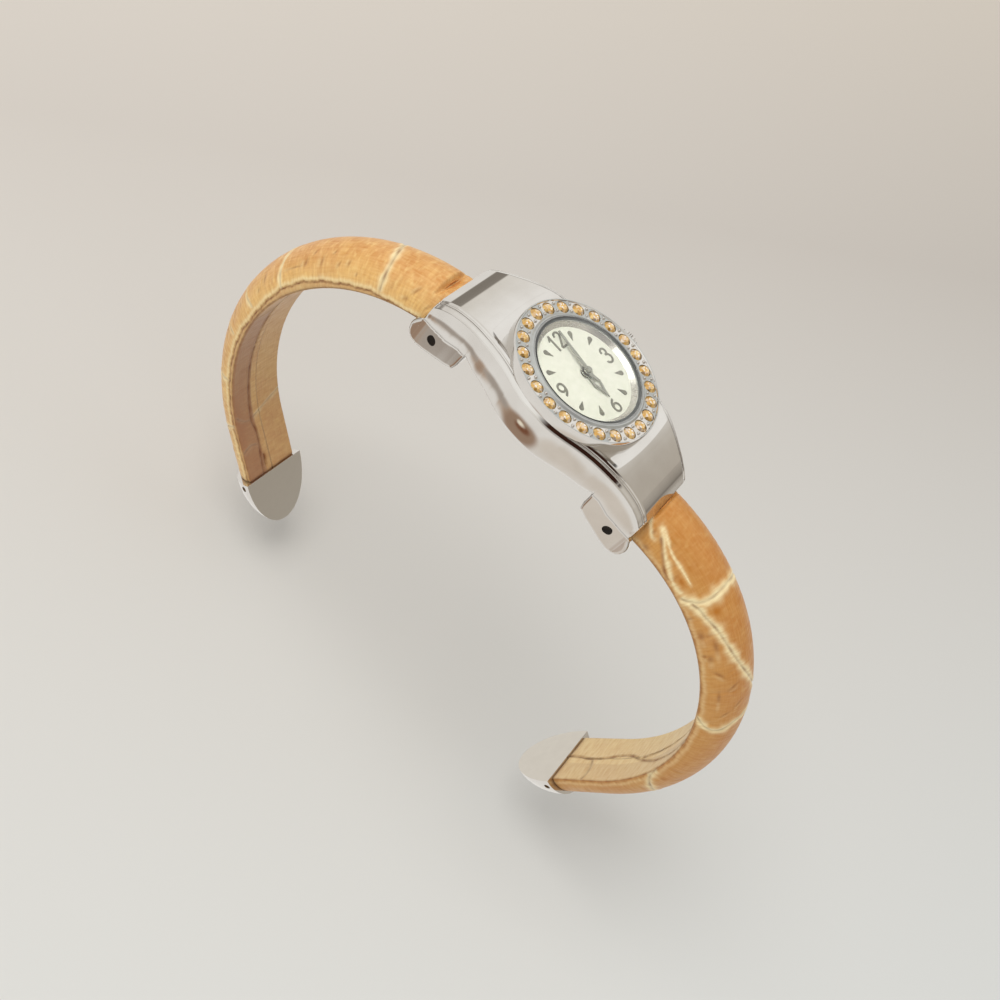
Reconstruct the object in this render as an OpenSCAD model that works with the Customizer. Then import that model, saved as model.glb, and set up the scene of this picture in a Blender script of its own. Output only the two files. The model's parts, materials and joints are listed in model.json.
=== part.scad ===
// Ladies' cuff watch: a polished one-piece case with a stone-set bezel and two hinged arms
// that leather covers.
// All lengths in millimetres. +Z leaves the dial, +Y points to 12 o'clock, +X to 3 o'clock and the crown.
// The origin is the middle of the wrist opening.

/* [Case] */
// height of the stones' plane above the middle of the wrist opening
stone_plane_height = 32; // [31:0.5:36]
// case length from lug end to lug end
case_length = 32.4; // [31.6:0.1:33.6]
// case width across the middle
case_width = 19.8; // [19.4:0.1:22]
// how far the rim at the middle lies under the stones' plane
rim_drop = 1.3; // [1.1:0.05:1.4]
// how far the lug ends' top edge drops below the rim at the middle
lug_drop = 4.1; // [3.9:0.1:4.4]
// side wall height at the middle
wall_height = 4.2; // [4.1:0.1:4.6]
// depth of the lug ears below the rim at the middle
ear_depth = 9.6; // [9.2:0.1:10]
// height of one step of the double rim bead
bead_step_height = 0.27; // [0.2:0.01:0.3]
// width of one step of the double rim bead
bead_step_width = 0.45; // [0.35:0.05:0.5]
// distance from a lug's end to the hinge's axis
pin_inset = 2.2; // [2.1:0.05:2.3]
// radius of the hollow under the lug's top, about the hinge
channel_radius = 4.12; // [4.0:0.02:4.2]

/* [Bezel] */
// outer diameter of the bezel
bezel_diameter = 18.56; // [18.4:0.04:18.8]
// diameter of the circle of stones
stone_circle = 16.32; // [16.2:0.04:16.4]
// number of stones
stone_count = 24; // [20:1:24]
// stone diameter
stone_diameter = 1.56; // [1.4:0.02:1.6]
// height of a stone's crown above its girdle
stone_crown = 0.3; // [0.2:0.02:0.4]
// depth of a stone below its girdle
stone_pavilion = 0.5; // [0.4:0.02:0.6]
// depth of the bezel's seat below the stones' plane
bezel_seat_drop = 1.5; // [1.45:0.01:1.55]
// depth of the collar that holds the bezel in the case
collar_depth = 0.5; // [0.4:0.05:0.55]
// collar wall
collar_wall = 0.36; // [0.3:0.02:0.4]
// diameter of the silver beads between the stones
bead_diameter = 0.4; // [0.3:0.02:0.44]

/* [Crystal and dial] */
// crystal diameter
crystal_diameter = 13.5; // [13.4:0.02:13.6]
// height of the crystal's edge above the stones' plane
crystal_edge_rise = 0.39; // [0.35:0.01:0.45]
// crystal thickness at its edge
crystal_thickness = 0.6; // [0.5:0.02:0.62]
// rise of the crystal's dome
crystal_dome = 0.6; // [0.4:0.05:0.8]
// width of the crystal gasket
gasket_width = 0.25; // [0.2:0.01:0.28]
// depth of the dial face below the stones' plane
dial_drop = 0.8; // [0.76:0.01:0.84]
// dial thickness
dial_thickness = 0.4; // [0.3:0.02:0.44]
// dial diameter
dial_diameter = 13.8; // [13.6:0.02:13.84]
// inner diameter of the sloped ring round the dial
dial_opening = 11.7; // [11.4:0.05:11.9]
// height of the printed numerals and marks
print_height = 0.05; // [0.03:0.01:0.06]
// height of a numeral
numeral_height = 2.1; // [1.8:0.05:2.2]
// stroke of a numeral
numeral_stroke = 0.26; // [0.2:0.01:0.3]
// radius from the dial's middle to the numerals
numeral_radius = 4.5; // [4.3:0.05:4.6]
// length of a teardrop mark
drop_length = 1.25; // [1:0.05:1.4]

/* [Hands] */
// minute hand length
minute_length = 5.3; // [4.8:0.1:5.5]
// hour hand length
hour_length = 3.6; // [3.2:0.1:3.7]
// hand sheet thickness
hand_thickness = 0.12; // [0.1:0.01:0.14]
// minute the minute hand points to, past the hour of six
shown_minute = 1.6; // [0:0.01:10]
// gap between the dial and the hour hand
hour_hand_gap = 0.14; // [0.12:0.01:0.16]
// gap between the two hands
hand_gap = 0.12; // [0.1:0.01:0.14]

/* [Crown] */
// crown diameter
crown_diameter = 3.5; // [3.2:0.1:3.7]
// crown length
crown_length = 2.3; // [2:0.1:2.6]
// depth of the stem's axis below the stones' plane
stem_drop = 2.9; // [2.86:0.02:2.94]
// gap between the crown and the case
crown_gap = 0.16; // [0.12:0.02:0.3]
// travel of the crown when pulled
crown_travel = 0.8; // [0.6:0.05:0.9]
// stem diameter
stem_diameter = 0.8; // [0.76:0.01:0.84]
// number of flutes on the crown
flute_count = 20; // [16:1:24]

/* [Movement] */
// movement diameter
movement_diameter = 12.4; // [12.3:0.02:12.44]
// main plate thickness
plate_thickness = 0.6; // [0.56:0.01:0.64]
// battery diameter
battery_diameter = 6; // [5.8:0.05:6.1]
// battery thickness
battery_thickness = 1.6; // [1.5:0.05:1.65]
// gear module of the wheels
gear_module = 0.08; // [0.076:0.001:0.08]
// wheel thickness
wheel_thickness = 0.16; // [0.14:0.01:0.18]
// running gap between a bore and the arbor in it
running_gap = 0.03; // [0.02:0.005:0.04]
// outer diameter of the movement ring
holder_diameter = 15.3; // [15.2:0.02:15.34]

/* [Case back] */
// case back diameter
back_diameter = 17; // [16.8:0.05:17.1]
// case back thickness
back_thickness = 1.2; // [1.1:0.05:1.3]
// how far the case back stands out of the case
back_rise = 0.35; // [0.3:0.05:0.5]
// width of the case back gasket
back_gasket = 0.4; // [0.35:0.01:0.42]

/* [Arms] */
// gap between an arm's leather and the ear on each side
arm_side_gap = 0.35; // [0.3:0.01:0.4]
// depth of the hinges below the stones' plane
hinge_drop = 8.3; // [8.2:0.02:8.4]
// angle of the arm at 12 o'clock, opened from its neutral place
upper_angle = -10.75; // [-12:0.25:10]
// angle of the arm at 6 o'clock, opened from its neutral place
lower_angle = 8; // [-12:0.25:10]
// radius of an arm's inner face
arm_radius = 23.2; // [22.8:0.1:25]
// how far an arm's inner face lies below its hinge
arm_inset = 0.1; // [0.08:0.01:0.3]
// width of an arm's leather
arm_width = 9; // [8.8:0.05:9.1]
// height of an arm's leather
arm_height = 4.4; // [4.2:0.05:4.5]
// angle at which an arm's curve runs out into its straight end
arm_turn_angle = 124; // [118:1:130]
// length of an arm's straight end
arm_straight = 7; // [5:0.1:8]
// leather thickness
leather_thickness = 0.8; // [0.7:0.02:0.9]
// width of the seam along an arm's inside
seam_width = 0.3; // [0.2:0.02:0.4]
// distance from an arm's side to the edge of its steel core
core_margin = 2; // [1.8:0.05:2.2]
// thickness of an arm's steel core
core_thickness = 0.8; // [0.7:0.02:0.9]
// hinge pin diameter
pin_diameter = 1.2; // [1.1:0.02:1.3]
// how deep the pin's ends lie in the ears
pin_recess = 0.35; // [0.3:0.05:0.45]
// hinge knuckle diameter
knuckle_diameter = 3.2; // [3:0.05:3.3]
// thickness of a friction washer
washer_thickness = 0.2; // [0.18:0.01:0.22]

/* [End caps] */
// end cap width
cap_width = 10.8; // [10.4:0.05:11.2]
// end cap height
cap_height = 4.95; // [4.8:0.05:5.1]
// end cap length beyond the leather's edge
cap_length = 7.9; // [7.4:0.1:8.6]
// depth of leather held in the end cap
cap_grip = 1.6; // [1.4:0.05:1.8]
// wall of the end cap's dome
cap_wall = 0.4; // [0.35:0.01:0.42]

/* [Hidden] */
$fn = 64;
dome_facets = 180;
bead_facets = 24;
stone_facets = 12;
half_length = case_length/2;
half_width = case_width/2;
rim_z = -rim_drop;
wall_z = rim_z - wall_height;
ear_z = rim_z - ear_depth;
lug_z = rim_z - lug_drop;
// plan outline: [share of half length, share of half width]
plan_shares = [[0,1],[0.12,0.985],[0.24,0.928],[0.345,0.862],[0.44,0.815],[0.525,0.787],[0.6,0.757],
  [0.68,0.717],[0.77,0.672],[0.865,0.632],[0.955,0.605],[1,0.6]];
// top profile: [share of half length, share of lug drop]
top_shares = [[0,0],[0.26,0.02],[0.525,0.075],[0.6,0.125],[0.68,0.21],[0.77,0.345],[0.865,0.52],
  [0.94,0.72],[1,1]];
// wall foot: [share of half length, share between wall foot and ear foot]
foot_shares = [[0.62,0.5],[0.7,0.65],[0.79,0.8],[0.877,0.93],[0.95,1],[1,0.98],[1.046,0.86],[1.06,0.68],
  [1.045,0.5],[1.006,0.31]];
// wall foot between the middle and the ear, in the same shares
wall_foot_shares = [[0.6,0.13],[0.5,0.07],[0.3,0.02]];
// how far the ears reach out, as a share of half the case's length
ear_reach_share = 1.08;
case_top_z = rim_z + 2*bead_step_height;
seat_z = -bezel_seat_drop;
crystal_r = crystal_diameter/2;
crystal_hole_r = crystal_r + gasket_width;
bezel_r = bezel_diameter/2;
bezel_bore_r = dial_diameter/2 + running_gap;
collar_r = bezel_bore_r + collar_wall;
collar_z = seat_z - collar_depth;
crystal_foot_z = crystal_edge_rise - crystal_thickness;
flange_thickness = crystal_thickness/3;
flange_z = crystal_foot_z - flange_thickness;
flange_r = crystal_r - gasket_width - gasket_width/2;
dial_z = -dial_drop;
dial_foot_z = dial_z - dial_thickness;
bezel_top_z = stone_crown/3;
bezel_rim_z = bezel_top_z + bead_step_height/2;
stone_r = stone_diameter/2;
stone_ring_r = stone_circle/2;
// movement
movement_r = movement_diameter/2;
plate_top_z = dial_foot_z;
recess_depth = 3*wheel_thickness;
plate_z = plate_top_z - recess_depth - plate_thickness;
recess_z = plate_top_z - recess_depth;
train_space = battery_thickness - plate_thickness/2;
battery_z = plate_z - wheel_thickness*2.6 - battery_thickness;
bridge_top_z = plate_z - train_space;
bridge_thickness = plate_thickness*0.6;
movement_foot_z = bridge_top_z - bridge_thickness;
holder_r = holder_diameter/2;
bore_r = holder_r + running_gap;
ledge_z = collar_z;
arbor_r = 2.5*gear_module;
cannon_teeth = 12;
minute_teeth = 36;
minute_pinion_teeth = 10;
hour_teeth = 40;
setting_teeth = 20;
centre_teeth = 60;
third_pinion_teeth = 8;
third_teeth = 64;
rotor_teeth = 8;
clutch_teeth = 12;
train_d = gear_module*(cannon_teeth + minute_teeth)/2;
hour_module = gear_module*(cannon_teeth + minute_teeth)/(hour_teeth + minute_pinion_teeth);
stem_z = -stem_drop;
stem_r = stem_diameter/2;
tube_r = stem_r + running_gap;
tube_wall = stem_diameter/3;
tube_out_r = tube_r + tube_wall;
// case back
back_r = back_diameter/2;
back_seat_z = wall_z - back_rise + back_thickness;
back_foot_z = wall_z - back_rise;
// arms
pin_r = pin_diameter/2;
pin_z = -hinge_drop;
pin_y = half_length - pin_inset;
channel_width = arm_width + 2*arm_side_gap;
core_width = arm_width - 2*core_margin;
knuckle_r = knuckle_diameter/2;
channel_half = channel_width/2;
washer_clear = running_gap;
knuckle_half = channel_half - washer_thickness - 2*washer_clear;
arm_centre = arm_radius + arm_inset;
arm_section_r = (arm_width*arm_width/4 + arm_height*arm_height)/(2*arm_height);
arm_section_c = arm_radius + arm_height - arm_section_r;
arm_start_angle = 2;
arm_full_r = channel_radius - 2*running_gap;
cap_section_r = (cap_width*cap_width/4 + cap_height*cap_height)/(2*cap_height);
core_r = arm_radius + leather_thickness + core_thickness;
knuckle_low = arm_radius + leather_thickness*1.25;
shown_hour_angle = 180 + shown_minute/2;
shown_minute_angle = shown_minute*6;
hour_hand_z = dial_z + print_height + hour_hand_gap;
minute_hand_z = hour_hand_z + hand_thickness + hand_gap;
steel = [0.8, 0.8, 0.82];
brass = [0.8, 0.68, 0.35];

// smooth value through a table of pairs
function span_of(t, x, i = 0) = i >= len(t) - 2 || x < t[i+1][0] ? i : span_of(t, x, i + 1);
function curve(a, b, c, d, u) =
  0.5*(2*b + (c - a)*u + (2*a - 5*b + 4*c - d)*u*u + (3*b - a - 3*c + d)*u*u*u);
function before(t, i) = i > 0 ? t[i-1][1] : t[1][1];
function after(t, i) = i < len(t) - 2 ? t[i+2][1] : 2*t[i+1][1] - t[i][1];
function smooth(t, x) = let (i = span_of(t, x), u = (x - t[i][0])/(t[i+1][0] - t[i][0]))
  curve(before(t, i), t[i][1], t[i+1][1], after(t, i), u);
plan_steps = 32;
ear_side = half_width*smooth(plan_shares, pin_y/half_length);
steps = [for (i = [0:plan_steps]) i/plan_steps];
plan_end = [ear_reach_share*half_length, half_width*plan_shares[len(plan_shares) - 1][1]];
function plan_half() = concat([for (k = steps) [k*half_length, half_width*smooth(plan_shares, k)]],
  [plan_end]);
function top_half() = [for (k = steps) [k*half_length, -lug_drop*smooth(top_shares, k)]];
function foot(shares) = [for (p = shares) [p[0]*half_length, wall_z + (ear_z - wall_z)*p[1]]];
function flip(l) = [for (i = [len(l) - 1:-1:0]) l[i]];
function left(l) = [for (p = l) [-p[0], p[1]]];

module lift() { translate([0, 0, stone_plane_height]) children(); }

// plan of the case, drawn with x across and y along
module plan(inset) {
  h = plan_half();
  polygon(concat([for (p = h) [p[1] - inset, p[0]]], [for (p = flip(h)) [inset - p[1], p[0]]],
    [for (p = h) if (p[0] > 0) [inset - p[1], -p[0]]],
    [for (p = flip(h)) if (p[0] > 0) [p[1] - inset, -p[0]]]));
}

// side of the case, drawn with x along and y up
module side(rise) {
  t = [for (p = top_half()) [p[0], p[1] + rim_z + rise]];
  r = concat(t, flip(foot(foot_shares)), foot(wall_foot_shares));
  polygon(concat(r, flip([for (p = left(r)) if (p[0] < 0) p])));
}

module tier(inset, rise) {
  intersection() {
    translate([0, 0, ear_z*2]) linear_extrude(-ear_z*3) plan(inset);
    rotate([90, 0, 90]) translate([0, 0, -half_width*2]) linear_extrude(half_width*4) side(rise);
  }
}

// a cylinder along X, centred
module rod_x(r, l) { rotate([0, 90, 0]) translate([0, 0, -l/2]) cylinder(r = r, h = l); }
module tube(r_out, r_in, h) {
  difference() {
    cylinder(r = r_out, h = h);
    translate([0, 0, -h]) cylinder(r = r_in, h = 3*h);
  }
}

module ends() { children(); mirror([0, 1, 0]) children(); }

module case_body() color(steel) lift() {
  difference() {
    union() {
      tier(0, 0);
      tier(bead_step_width, bead_step_height);
      tier(2*bead_step_width, 2*bead_step_height);
    }
    translate([0, 0, seat_z]) cylinder(r = bezel_r, h = half_width);
    translate([0, 0, seat_z - half_width]) cylinder(r = collar_r, h = 2*half_width);
    translate([0, 0, ledge_z - half_width]) cylinder(r = bore_r, h = half_width);
    translate([0, 0, back_seat_z - half_width]) cylinder(r = back_r, h = half_width);
    ends() translate([0, pin_y, pin_z]) {
      rod_x(channel_radius, channel_width);
      translate([-channel_half, -channel_radius, -half_width])
        cube([channel_width, half_width, half_width]);
      rod_x(pin_r, 3*half_width);
    }
    translate([0, 0, stem_z]) rotate([0, 90, 0]) cylinder(r = tube_out_r, h = 2*half_width);
    translate([half_width - tube_wall/2, 0, stem_z]) rotate([0, 90, 0])
      cylinder(r = crown_diameter/2 + crown_gap, h = half_width);
  }
}

module bezel() color(steel) lift() {
  rim = bezel_r - stone_ring_r - stone_r;
  lip_z = crystal_edge_rise - bead_step_height/3;
  difference() {
    union() {
      rotate_extrude() polygon([[flange_r, flange_z], [bezel_bore_r, flange_z], [bezel_bore_r, collar_z],
        [collar_r, collar_z], [collar_r, seat_z], [bezel_r, seat_z], [bezel_r, -bezel_top_z],
        [bezel_r - rim/3, bezel_rim_z], [bezel_r - rim*2/3, bezel_rim_z], [bezel_r - rim*0.9, bezel_top_z],
        [stone_ring_r - stone_r - rim*0.1, bezel_top_z], [crystal_hole_r + gasket_width/2, lip_z],
        [crystal_hole_r, lip_z], [crystal_hole_r, crystal_foot_z], [flange_r, crystal_foot_z]]);
      for (i = [0:stone_count - 1]) rotate([0, 0, (i + 0.5)*360/stone_count])
        for (s = [-1, 1]) translate([stone_ring_r + s*stone_r*0.62, 0, bezel_top_z])
          sphere(r = bead_diameter/2, $fn = bead_facets);
    }
    for (i = [0:stone_count - 1]) rotate([0, 0, i*360/stone_count + 90]) translate([stone_ring_r, 0, 0]) {
      translate([0, 0, -stone_crown/3]) cylinder(r = stone_r, h = stone_crown*4);
      translate([0, 0, -stone_crown/3 - stone_pavilion])
        cylinder(r1 = 0, r2 = stone_r, h = stone_pavilion + stone_crown/9);
    }
  }
}

module bezel_stones() color([0.85, 0.66, 0.36]) lift() {
  for (i = [0:stone_count - 1]) rotate([0, 0, i*360/stone_count + 90]) translate([stone_ring_r, 0, 0]) {
    translate([0, 0, -stone_crown/3]) cylinder(r = stone_r, h = stone_crown/3, $fn = stone_facets);
    cylinder(r1 = stone_r, r2 = stone_r*0.58, h = stone_crown, $fn = stone_facets);
    translate([0, 0, -stone_crown/3 - stone_pavilion])
      cylinder(r1 = stone_r*0.06, r2 = stone_r, h = stone_pavilion, $fn = stone_facets);
  }
}

function dome_r(r, rise) = (r*r + rise*rise)/(2*rise);

module crystal() color([0.9, 0.95, 1, 0.35]) lift() {
  R = dome_r(crystal_r, crystal_dome);
  inner_r = crystal_r - gasket_width*2;
  Ri = dome_r(inner_r, crystal_dome*0.8);
  difference() {
    intersection() {
      translate([0, 0, crystal_foot_z]) cylinder(r = crystal_r, h = crystal_thickness + crystal_dome);
      translate([0, 0, crystal_edge_rise + crystal_dome - R]) sphere(r = R, $fn = dome_facets);
    }
    intersection() {
      translate([0, 0, crystal_foot_z - crystal_thickness]) cylinder(r = inner_r, h = 3*crystal_thickness);
      translate([0, 0, crystal_foot_z + crystal_dome*0.8 - Ri]) sphere(r = Ri, $fn = dome_facets);
    }
  }
}

module crystal_gasket() color([0.2, 0.2, 0.2]) lift()
  translate([0, 0, crystal_foot_z]) tube(crystal_hole_r, crystal_r, crystal_thickness - bead_step_height/2);

module dial_ring() color([0.85, 0.86, 0.82]) lift() {
  rotate_extrude() polygon([[dial_opening/2, dial_z], [dial_diameter/2, dial_z],
    [dial_diameter/2, flange_z], [flange_r, flange_z]]);
}

module dial() color([0.89, 0.89, 0.81]) lift() {
  translate([0, 0, dial_foot_z]) tube(dial_diameter/2, arbor_r*3.2, dial_thickness);
}

// strokes of the numerals, in a box one numeral high
module bar(a, b, w) {
  d = b - a;
  l = norm(d);
  translate(a) rotate(atan2(d[1], d[0])) translate([0, -w/2]) square([l, w]);
}
module ring2(r, w) {
  difference() {
    circle(r = r);
    circle(r = r - w);
  }
}
module drop2() {
  r = drop_length*0.24;
  circle(r = r);
  polygon([[-r*0.94, -r*0.3], [r*0.94, -r*0.3], [0, r - drop_length]]);
}
module one2() {
  h = numeral_height;
  translate([-numeral_stroke/2, -h/2]) square([numeral_stroke, h]);
  bar([0, h*0.42], [-h*0.2, h*0.2], numeral_stroke*0.8);
}
module two2() {
  h = numeral_height;
  r = h*0.27;
  w = numeral_stroke;
  difference() {
    translate([0, h/2 - r]) ring2(r, w);
    translate([-r*2, h/2 - r*3]) square([r*2, r*2]);
    translate([-r/2, h/2 - r*3]) square([r*2, r*1.7]);
  }
  bar([r - w*0.7, h/2 - r*1.15], [-r, -h/2 + w*0.6], w);
  translate([-r, -h/2]) square([r*2.1, w]);
}
module three2() {
  h = numeral_height;
  r = h*0.25;
  R = h*0.31;
  w = numeral_stroke;
  difference() {
    union() {
      translate([0, h/2 - r]) ring2(r, w);
      translate([0, -h/2 + R]) ring2(R, w);
    }
    translate([-R*2, -h/2 + R*0.75]) square([R*1.9, h/2 + r - R*1.5 + r*0.75]);
  }
}
module six2() {
  h = numeral_height;
  R = h*0.29;
  w = numeral_stroke;
  translate([0, -h/2 + R]) ring2(R, w);
  difference() {
    translate([h*0.22, -h/2 + R*1.1]) ring2(h*0.51, w);
    translate([h*0.12, -h]) square(2*h);
    translate([-h, -h*2 - h/2 + R*1.1]) square(2*h);
  }
}

module dial_marks() color([0.3, 0.3, 0.26]) lift() translate([0, 0, dial_z]) linear_extrude(print_height) {
  translate([-numeral_height*0.26, numeral_radius]) one2();
  translate([numeral_height*0.3, numeral_radius]) two2();
  translate([numeral_radius, 0]) three2();
  translate([0, -numeral_radius]) six2();
  translate([-numeral_radius, 0]) rotate(180) six2();
  for (i = [1:11]) if (i % 3 > 0) rotate(-30*i) translate([0, numeral_radius + drop_length*0.4]) drop2();
}

module hour_hand() color([0.6, 0.6, 0.6]) lift() translate([0, 0, hour_hand_z])
  rotate([0, 0, -shown_hour_angle]) {
  w = hour_length*0.16;
  linear_extrude(hand_thickness) difference() {
    union() {
      circle(r = arbor_r*3.6);
      polygon([[-w*0.5, 0], [w*0.5, 0], [w*1.1, hour_length*0.45], [w*0.35, hour_length*0.78],
        [0, hour_length],
        [-w*0.35, hour_length*0.78], [-w*1.1, hour_length*0.45]]);
    }
    circle(r = arbor_r*2.4);
    polygon([[0, hour_length*0.25], [w*0.7, hour_length*0.46], [0, hour_length*0.7],
      [-w*0.7, hour_length*0.46]]);
  }
}

module minute_hand() color([0.6, 0.6, 0.6]) lift() translate([0, 0, minute_hand_z])
  rotate([0, 0, -shown_minute_angle]) {
  w = minute_length*0.05;
  linear_extrude(hand_thickness) difference() {
    union() {
      circle(r = arbor_r*2.6);
      polygon([[-w, -minute_length*0.16], [w, -minute_length*0.16], [w, 0], [w*0.45, minute_length],
        [-w*0.45, minute_length], [-w, 0]]);
    }
    circle(r = arbor_r);
  }
}

module minute_cap() color([0.5, 0.5, 0.5]) lift() translate([0, 0, minute_hand_z + hand_thickness])
  difference() {
  cylinder(r1 = arbor_r*1.9, r2 = arbor_r*1.6, h = hand_thickness*2);
  translate([0, 0, -hand_thickness]) cylinder(r = arbor_r, h = hand_thickness*2);
}

// a flat gear with straight-sided teeth, drawn with a tooth at angle 0
module gear2(m, n) {
  r = m*n/2;
  a = 360/n;
  polygon([for (i = [0:n - 1]) for (q = [[-0.31, -1.15], [-0.13, 0.85], [0.13, 0.85], [0.31, -1.15]])
    let (t = (i + q[0])*a, p = r + q[1]*m) [p*cos(t), p*sin(t)]]);
}
module wheel(m, n, bore, turn = 0) {
  linear_extrude(wheel_thickness) difference() {
    rotate(turn) gear2(m, n);
    circle(r = bore);
  }
}
// the minute wheel stands beside the stem, the third wheel on its other side
minute_wheel_at_angle = -35;
third_wheel_at_angle = 65;
module at(angle, d) { translate([d*cos(angle), d*sin(angle), 0]) children(); }
third_d = gear_module*(centre_teeth + third_pinion_teeth)/2;
rotor_d = gear_module*(third_teeth + rotor_teeth)/2;
setting_d = gear_module*(minute_teeth + setting_teeth)/2;
rotor_at_angle = 150;
setting_at_angle = -15;
// a gear of n teeth at angle a from its driver needs the gap of a tooth facing back
function mesh_turn(a, n, na, turn_a) = a + 180 + 180/n - (turn_a - a)*na/n;
minute_wheel_angle = mesh_turn(minute_wheel_at_angle, minute_teeth, cannon_teeth, 0);

module centre_arbor() color(brass) lift() {
  translate([0, 0, plate_z - wheel_thickness*2])
    cylinder(r = arbor_r, h = minute_hand_z + hand_thickness*2 - plate_z + wheel_thickness*2);
  translate([0, 0, recess_z + running_gap]) wheel(gear_module, cannon_teeth, arbor_r/2);
}
module centre_wheel() color(brass) lift() translate([0, 0, plate_z - wheel_thickness*2])
  wheel(gear_module, centre_teeth, arbor_r);
module hour_wheel() color(brass) lift() {
  translate([0, 0, recess_z + running_gap + wheel_thickness*1.4]) {
    wheel(hour_module, hour_teeth, arbor_r + running_gap,
      mesh_turn(minute_wheel_at_angle + 180, hour_teeth, minute_pinion_teeth, 0));
    tube(arbor_r*2.4, arbor_r + running_gap,
      hour_hand_z + hand_thickness - recess_z - running_gap - wheel_thickness*1.4);
  }
}
module minute_wheel() color(brass) lift() translate([0, 0, recess_z + running_gap])
  at(minute_wheel_at_angle, train_d) {
  wheel(gear_module, minute_teeth, pivot_r, minute_wheel_angle);
  translate([0, 0, wheel_thickness*0.9]) wheel(hour_module, minute_pinion_teeth, pivot_r);
  translate([0, 0, wheel_thickness*1.4]) wheel(hour_module, minute_pinion_teeth, pivot_r);
}
module setting_wheel() color(steel) lift() translate([0, 0, recess_z + running_gap])
  at(minute_wheel_at_angle, train_d)
  at(setting_at_angle, setting_d) wheel(gear_module, setting_teeth, pivot_r,
    mesh_turn(setting_at_angle, setting_teeth, minute_teeth, minute_wheel_angle));

module thin_pivots() {
  translate([0, 0, bridge_top_z - bridge_thickness/2])
    cylinder(r = arbor_r*0.6, h = train_space + bridge_thickness/2 + plate_thickness/2);
}
module third_wheel() color(brass) lift() at(third_wheel_at_angle, third_d) {
  translate([0, 0, plate_z - wheel_thickness*2]) wheel(gear_module, third_pinion_teeth, 0,
    mesh_turn(third_wheel_at_angle, third_pinion_teeth, centre_teeth, 0));
  translate([0, 0, plate_z - wheel_thickness*3]) cylinder(r = gear_module*2.5, h = wheel_thickness);
  translate([0, 0, plate_z - wheel_thickness*4]) wheel(gear_module, third_teeth, 0);
  thin_pivots();
}
module rotor() color([0.35, 0.35, 0.38]) lift() at(third_wheel_at_angle, third_d)
  at(rotor_at_angle, rotor_d) {
  translate([0, 0, plate_z - wheel_thickness*4]) wheel(gear_module, rotor_teeth, 0,
    mesh_turn(rotor_at_angle, rotor_teeth, third_teeth, 0));
  translate([0, 0, plate_z - wheel_thickness*6.5]) cylinder(r = arbor_r*2.6, h = wheel_thickness*2.3);
  translate([0, 0, plate_z - wheel_thickness*4.5]) cylinder(r = gear_module*2.5, h = wheel_thickness*4.4);
  thin_pivots();
}

battery_at = [-battery_diameter*0.35, -battery_diameter*0.375];
post_r = plate_thickness*0.53;
clamp_post_shares = [[-0.734, 0.005], [0.056, -0.731]];
bridge_post_shares = [[0.629, 0.597], [-0.258, 0.871]];
screw_r = post_r/2;
clamp_thickness = plate_thickness/5;
pivot_r = arbor_r*0.6 + running_gap;
stem_end = movement_r*0.53;
square_length = movement_r*0.27;
square_side = stem_diameter*0.62;
clutch_length = movement_r*0.16;
clutch_r = stem_diameter*0.7;
block_length = movement_r*0.16;

module at_posts(list) { for (p = list) translate(p*movement_r) children(); }
module at_third() { at(third_wheel_at_angle, third_d) children(); }
module at_rotor() { at_third() at(rotor_at_angle, rotor_d) children(); }
module at_minute() { at(minute_wheel_at_angle, train_d) children(); }
module at_setting() { at_minute() at(setting_at_angle, setting_d) children(); }

// a stud that stands in the plate's recess and carries a wheel
module stud(h) {
  translate([0, 0, recess_z - plate_thickness/4]) cylinder(r = arbor_r*0.6, h = h + plate_thickness/4);
}
// a bore through what starts at height z and is no thicker than the plate
module through(z, r) { translate([0, 0, z - plate_thickness]) cylinder(r = r, h = 2*plate_thickness); }

module main_plate() color(brass) lift() {
  difference() {
    union() {
      translate([0, 0, plate_z]) cylinder(r = movement_r, h = plate_top_z - plate_z);
      translate([movement_r*0.97 - block_length, -stem_diameter, stem_z - stem_diameter*0.8])
        cube([block_length, stem_diameter*2, plate_z - stem_z + stem_diameter*0.8]);
      at_posts(clamp_post_shares) translate([0, 0, battery_z])
        cylinder(r = post_r, h = plate_z - battery_z);
      at_posts(bridge_post_shares) translate([0, 0, bridge_top_z])
        cylinder(r = post_r, h = plate_z - bridge_top_z);
    }
    translate([0, 0, recess_z]) cylinder(r = movement_r*0.83, h = 2*recess_depth);
    translate([0, 0, plate_z - plate_thickness]) cylinder(r = arbor_r + running_gap, h = 3*plate_thickness);
    at_third() through(plate_z, pivot_r);
    at_rotor() through(plate_z, pivot_r);
    at_posts(clamp_post_shares) through(battery_z, screw_r);
    at_posts(bridge_post_shares) through(bridge_top_z, screw_r);
    translate([0, 0, stem_z]) rotate([0, 90, 0]) cylinder(r = tube_r, h = movement_r*2);
  }
  at_minute() stud(wheel_thickness*2.5);
  at_setting() stud(wheel_thickness*1.3);
}

bridge_outline_shares = [[0.726, 0.548], [0.613, 0.694], [0.161, 0.903], [-0.242, 0.944], [-0.339, 0.839],
  [-0.306, 0.548], [0.097, 0.29], [0.274, 0.306]];
module train_bridge() color(steel) lift() translate([0, 0, movement_foot_z]) difference() {
  linear_extrude(bridge_thickness) polygon(bridge_outline_shares*movement_r);
  at_third() translate([0, 0, -bridge_thickness]) cylinder(r = pivot_r, h = 3*bridge_thickness);
  at_rotor() translate([0, 0, -bridge_thickness]) cylinder(r = pivot_r, h = 3*bridge_thickness);
  at_posts(bridge_post_shares) translate([0, 0, -bridge_thickness])
    cylinder(r = screw_r, h = 3*bridge_thickness);
}

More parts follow.
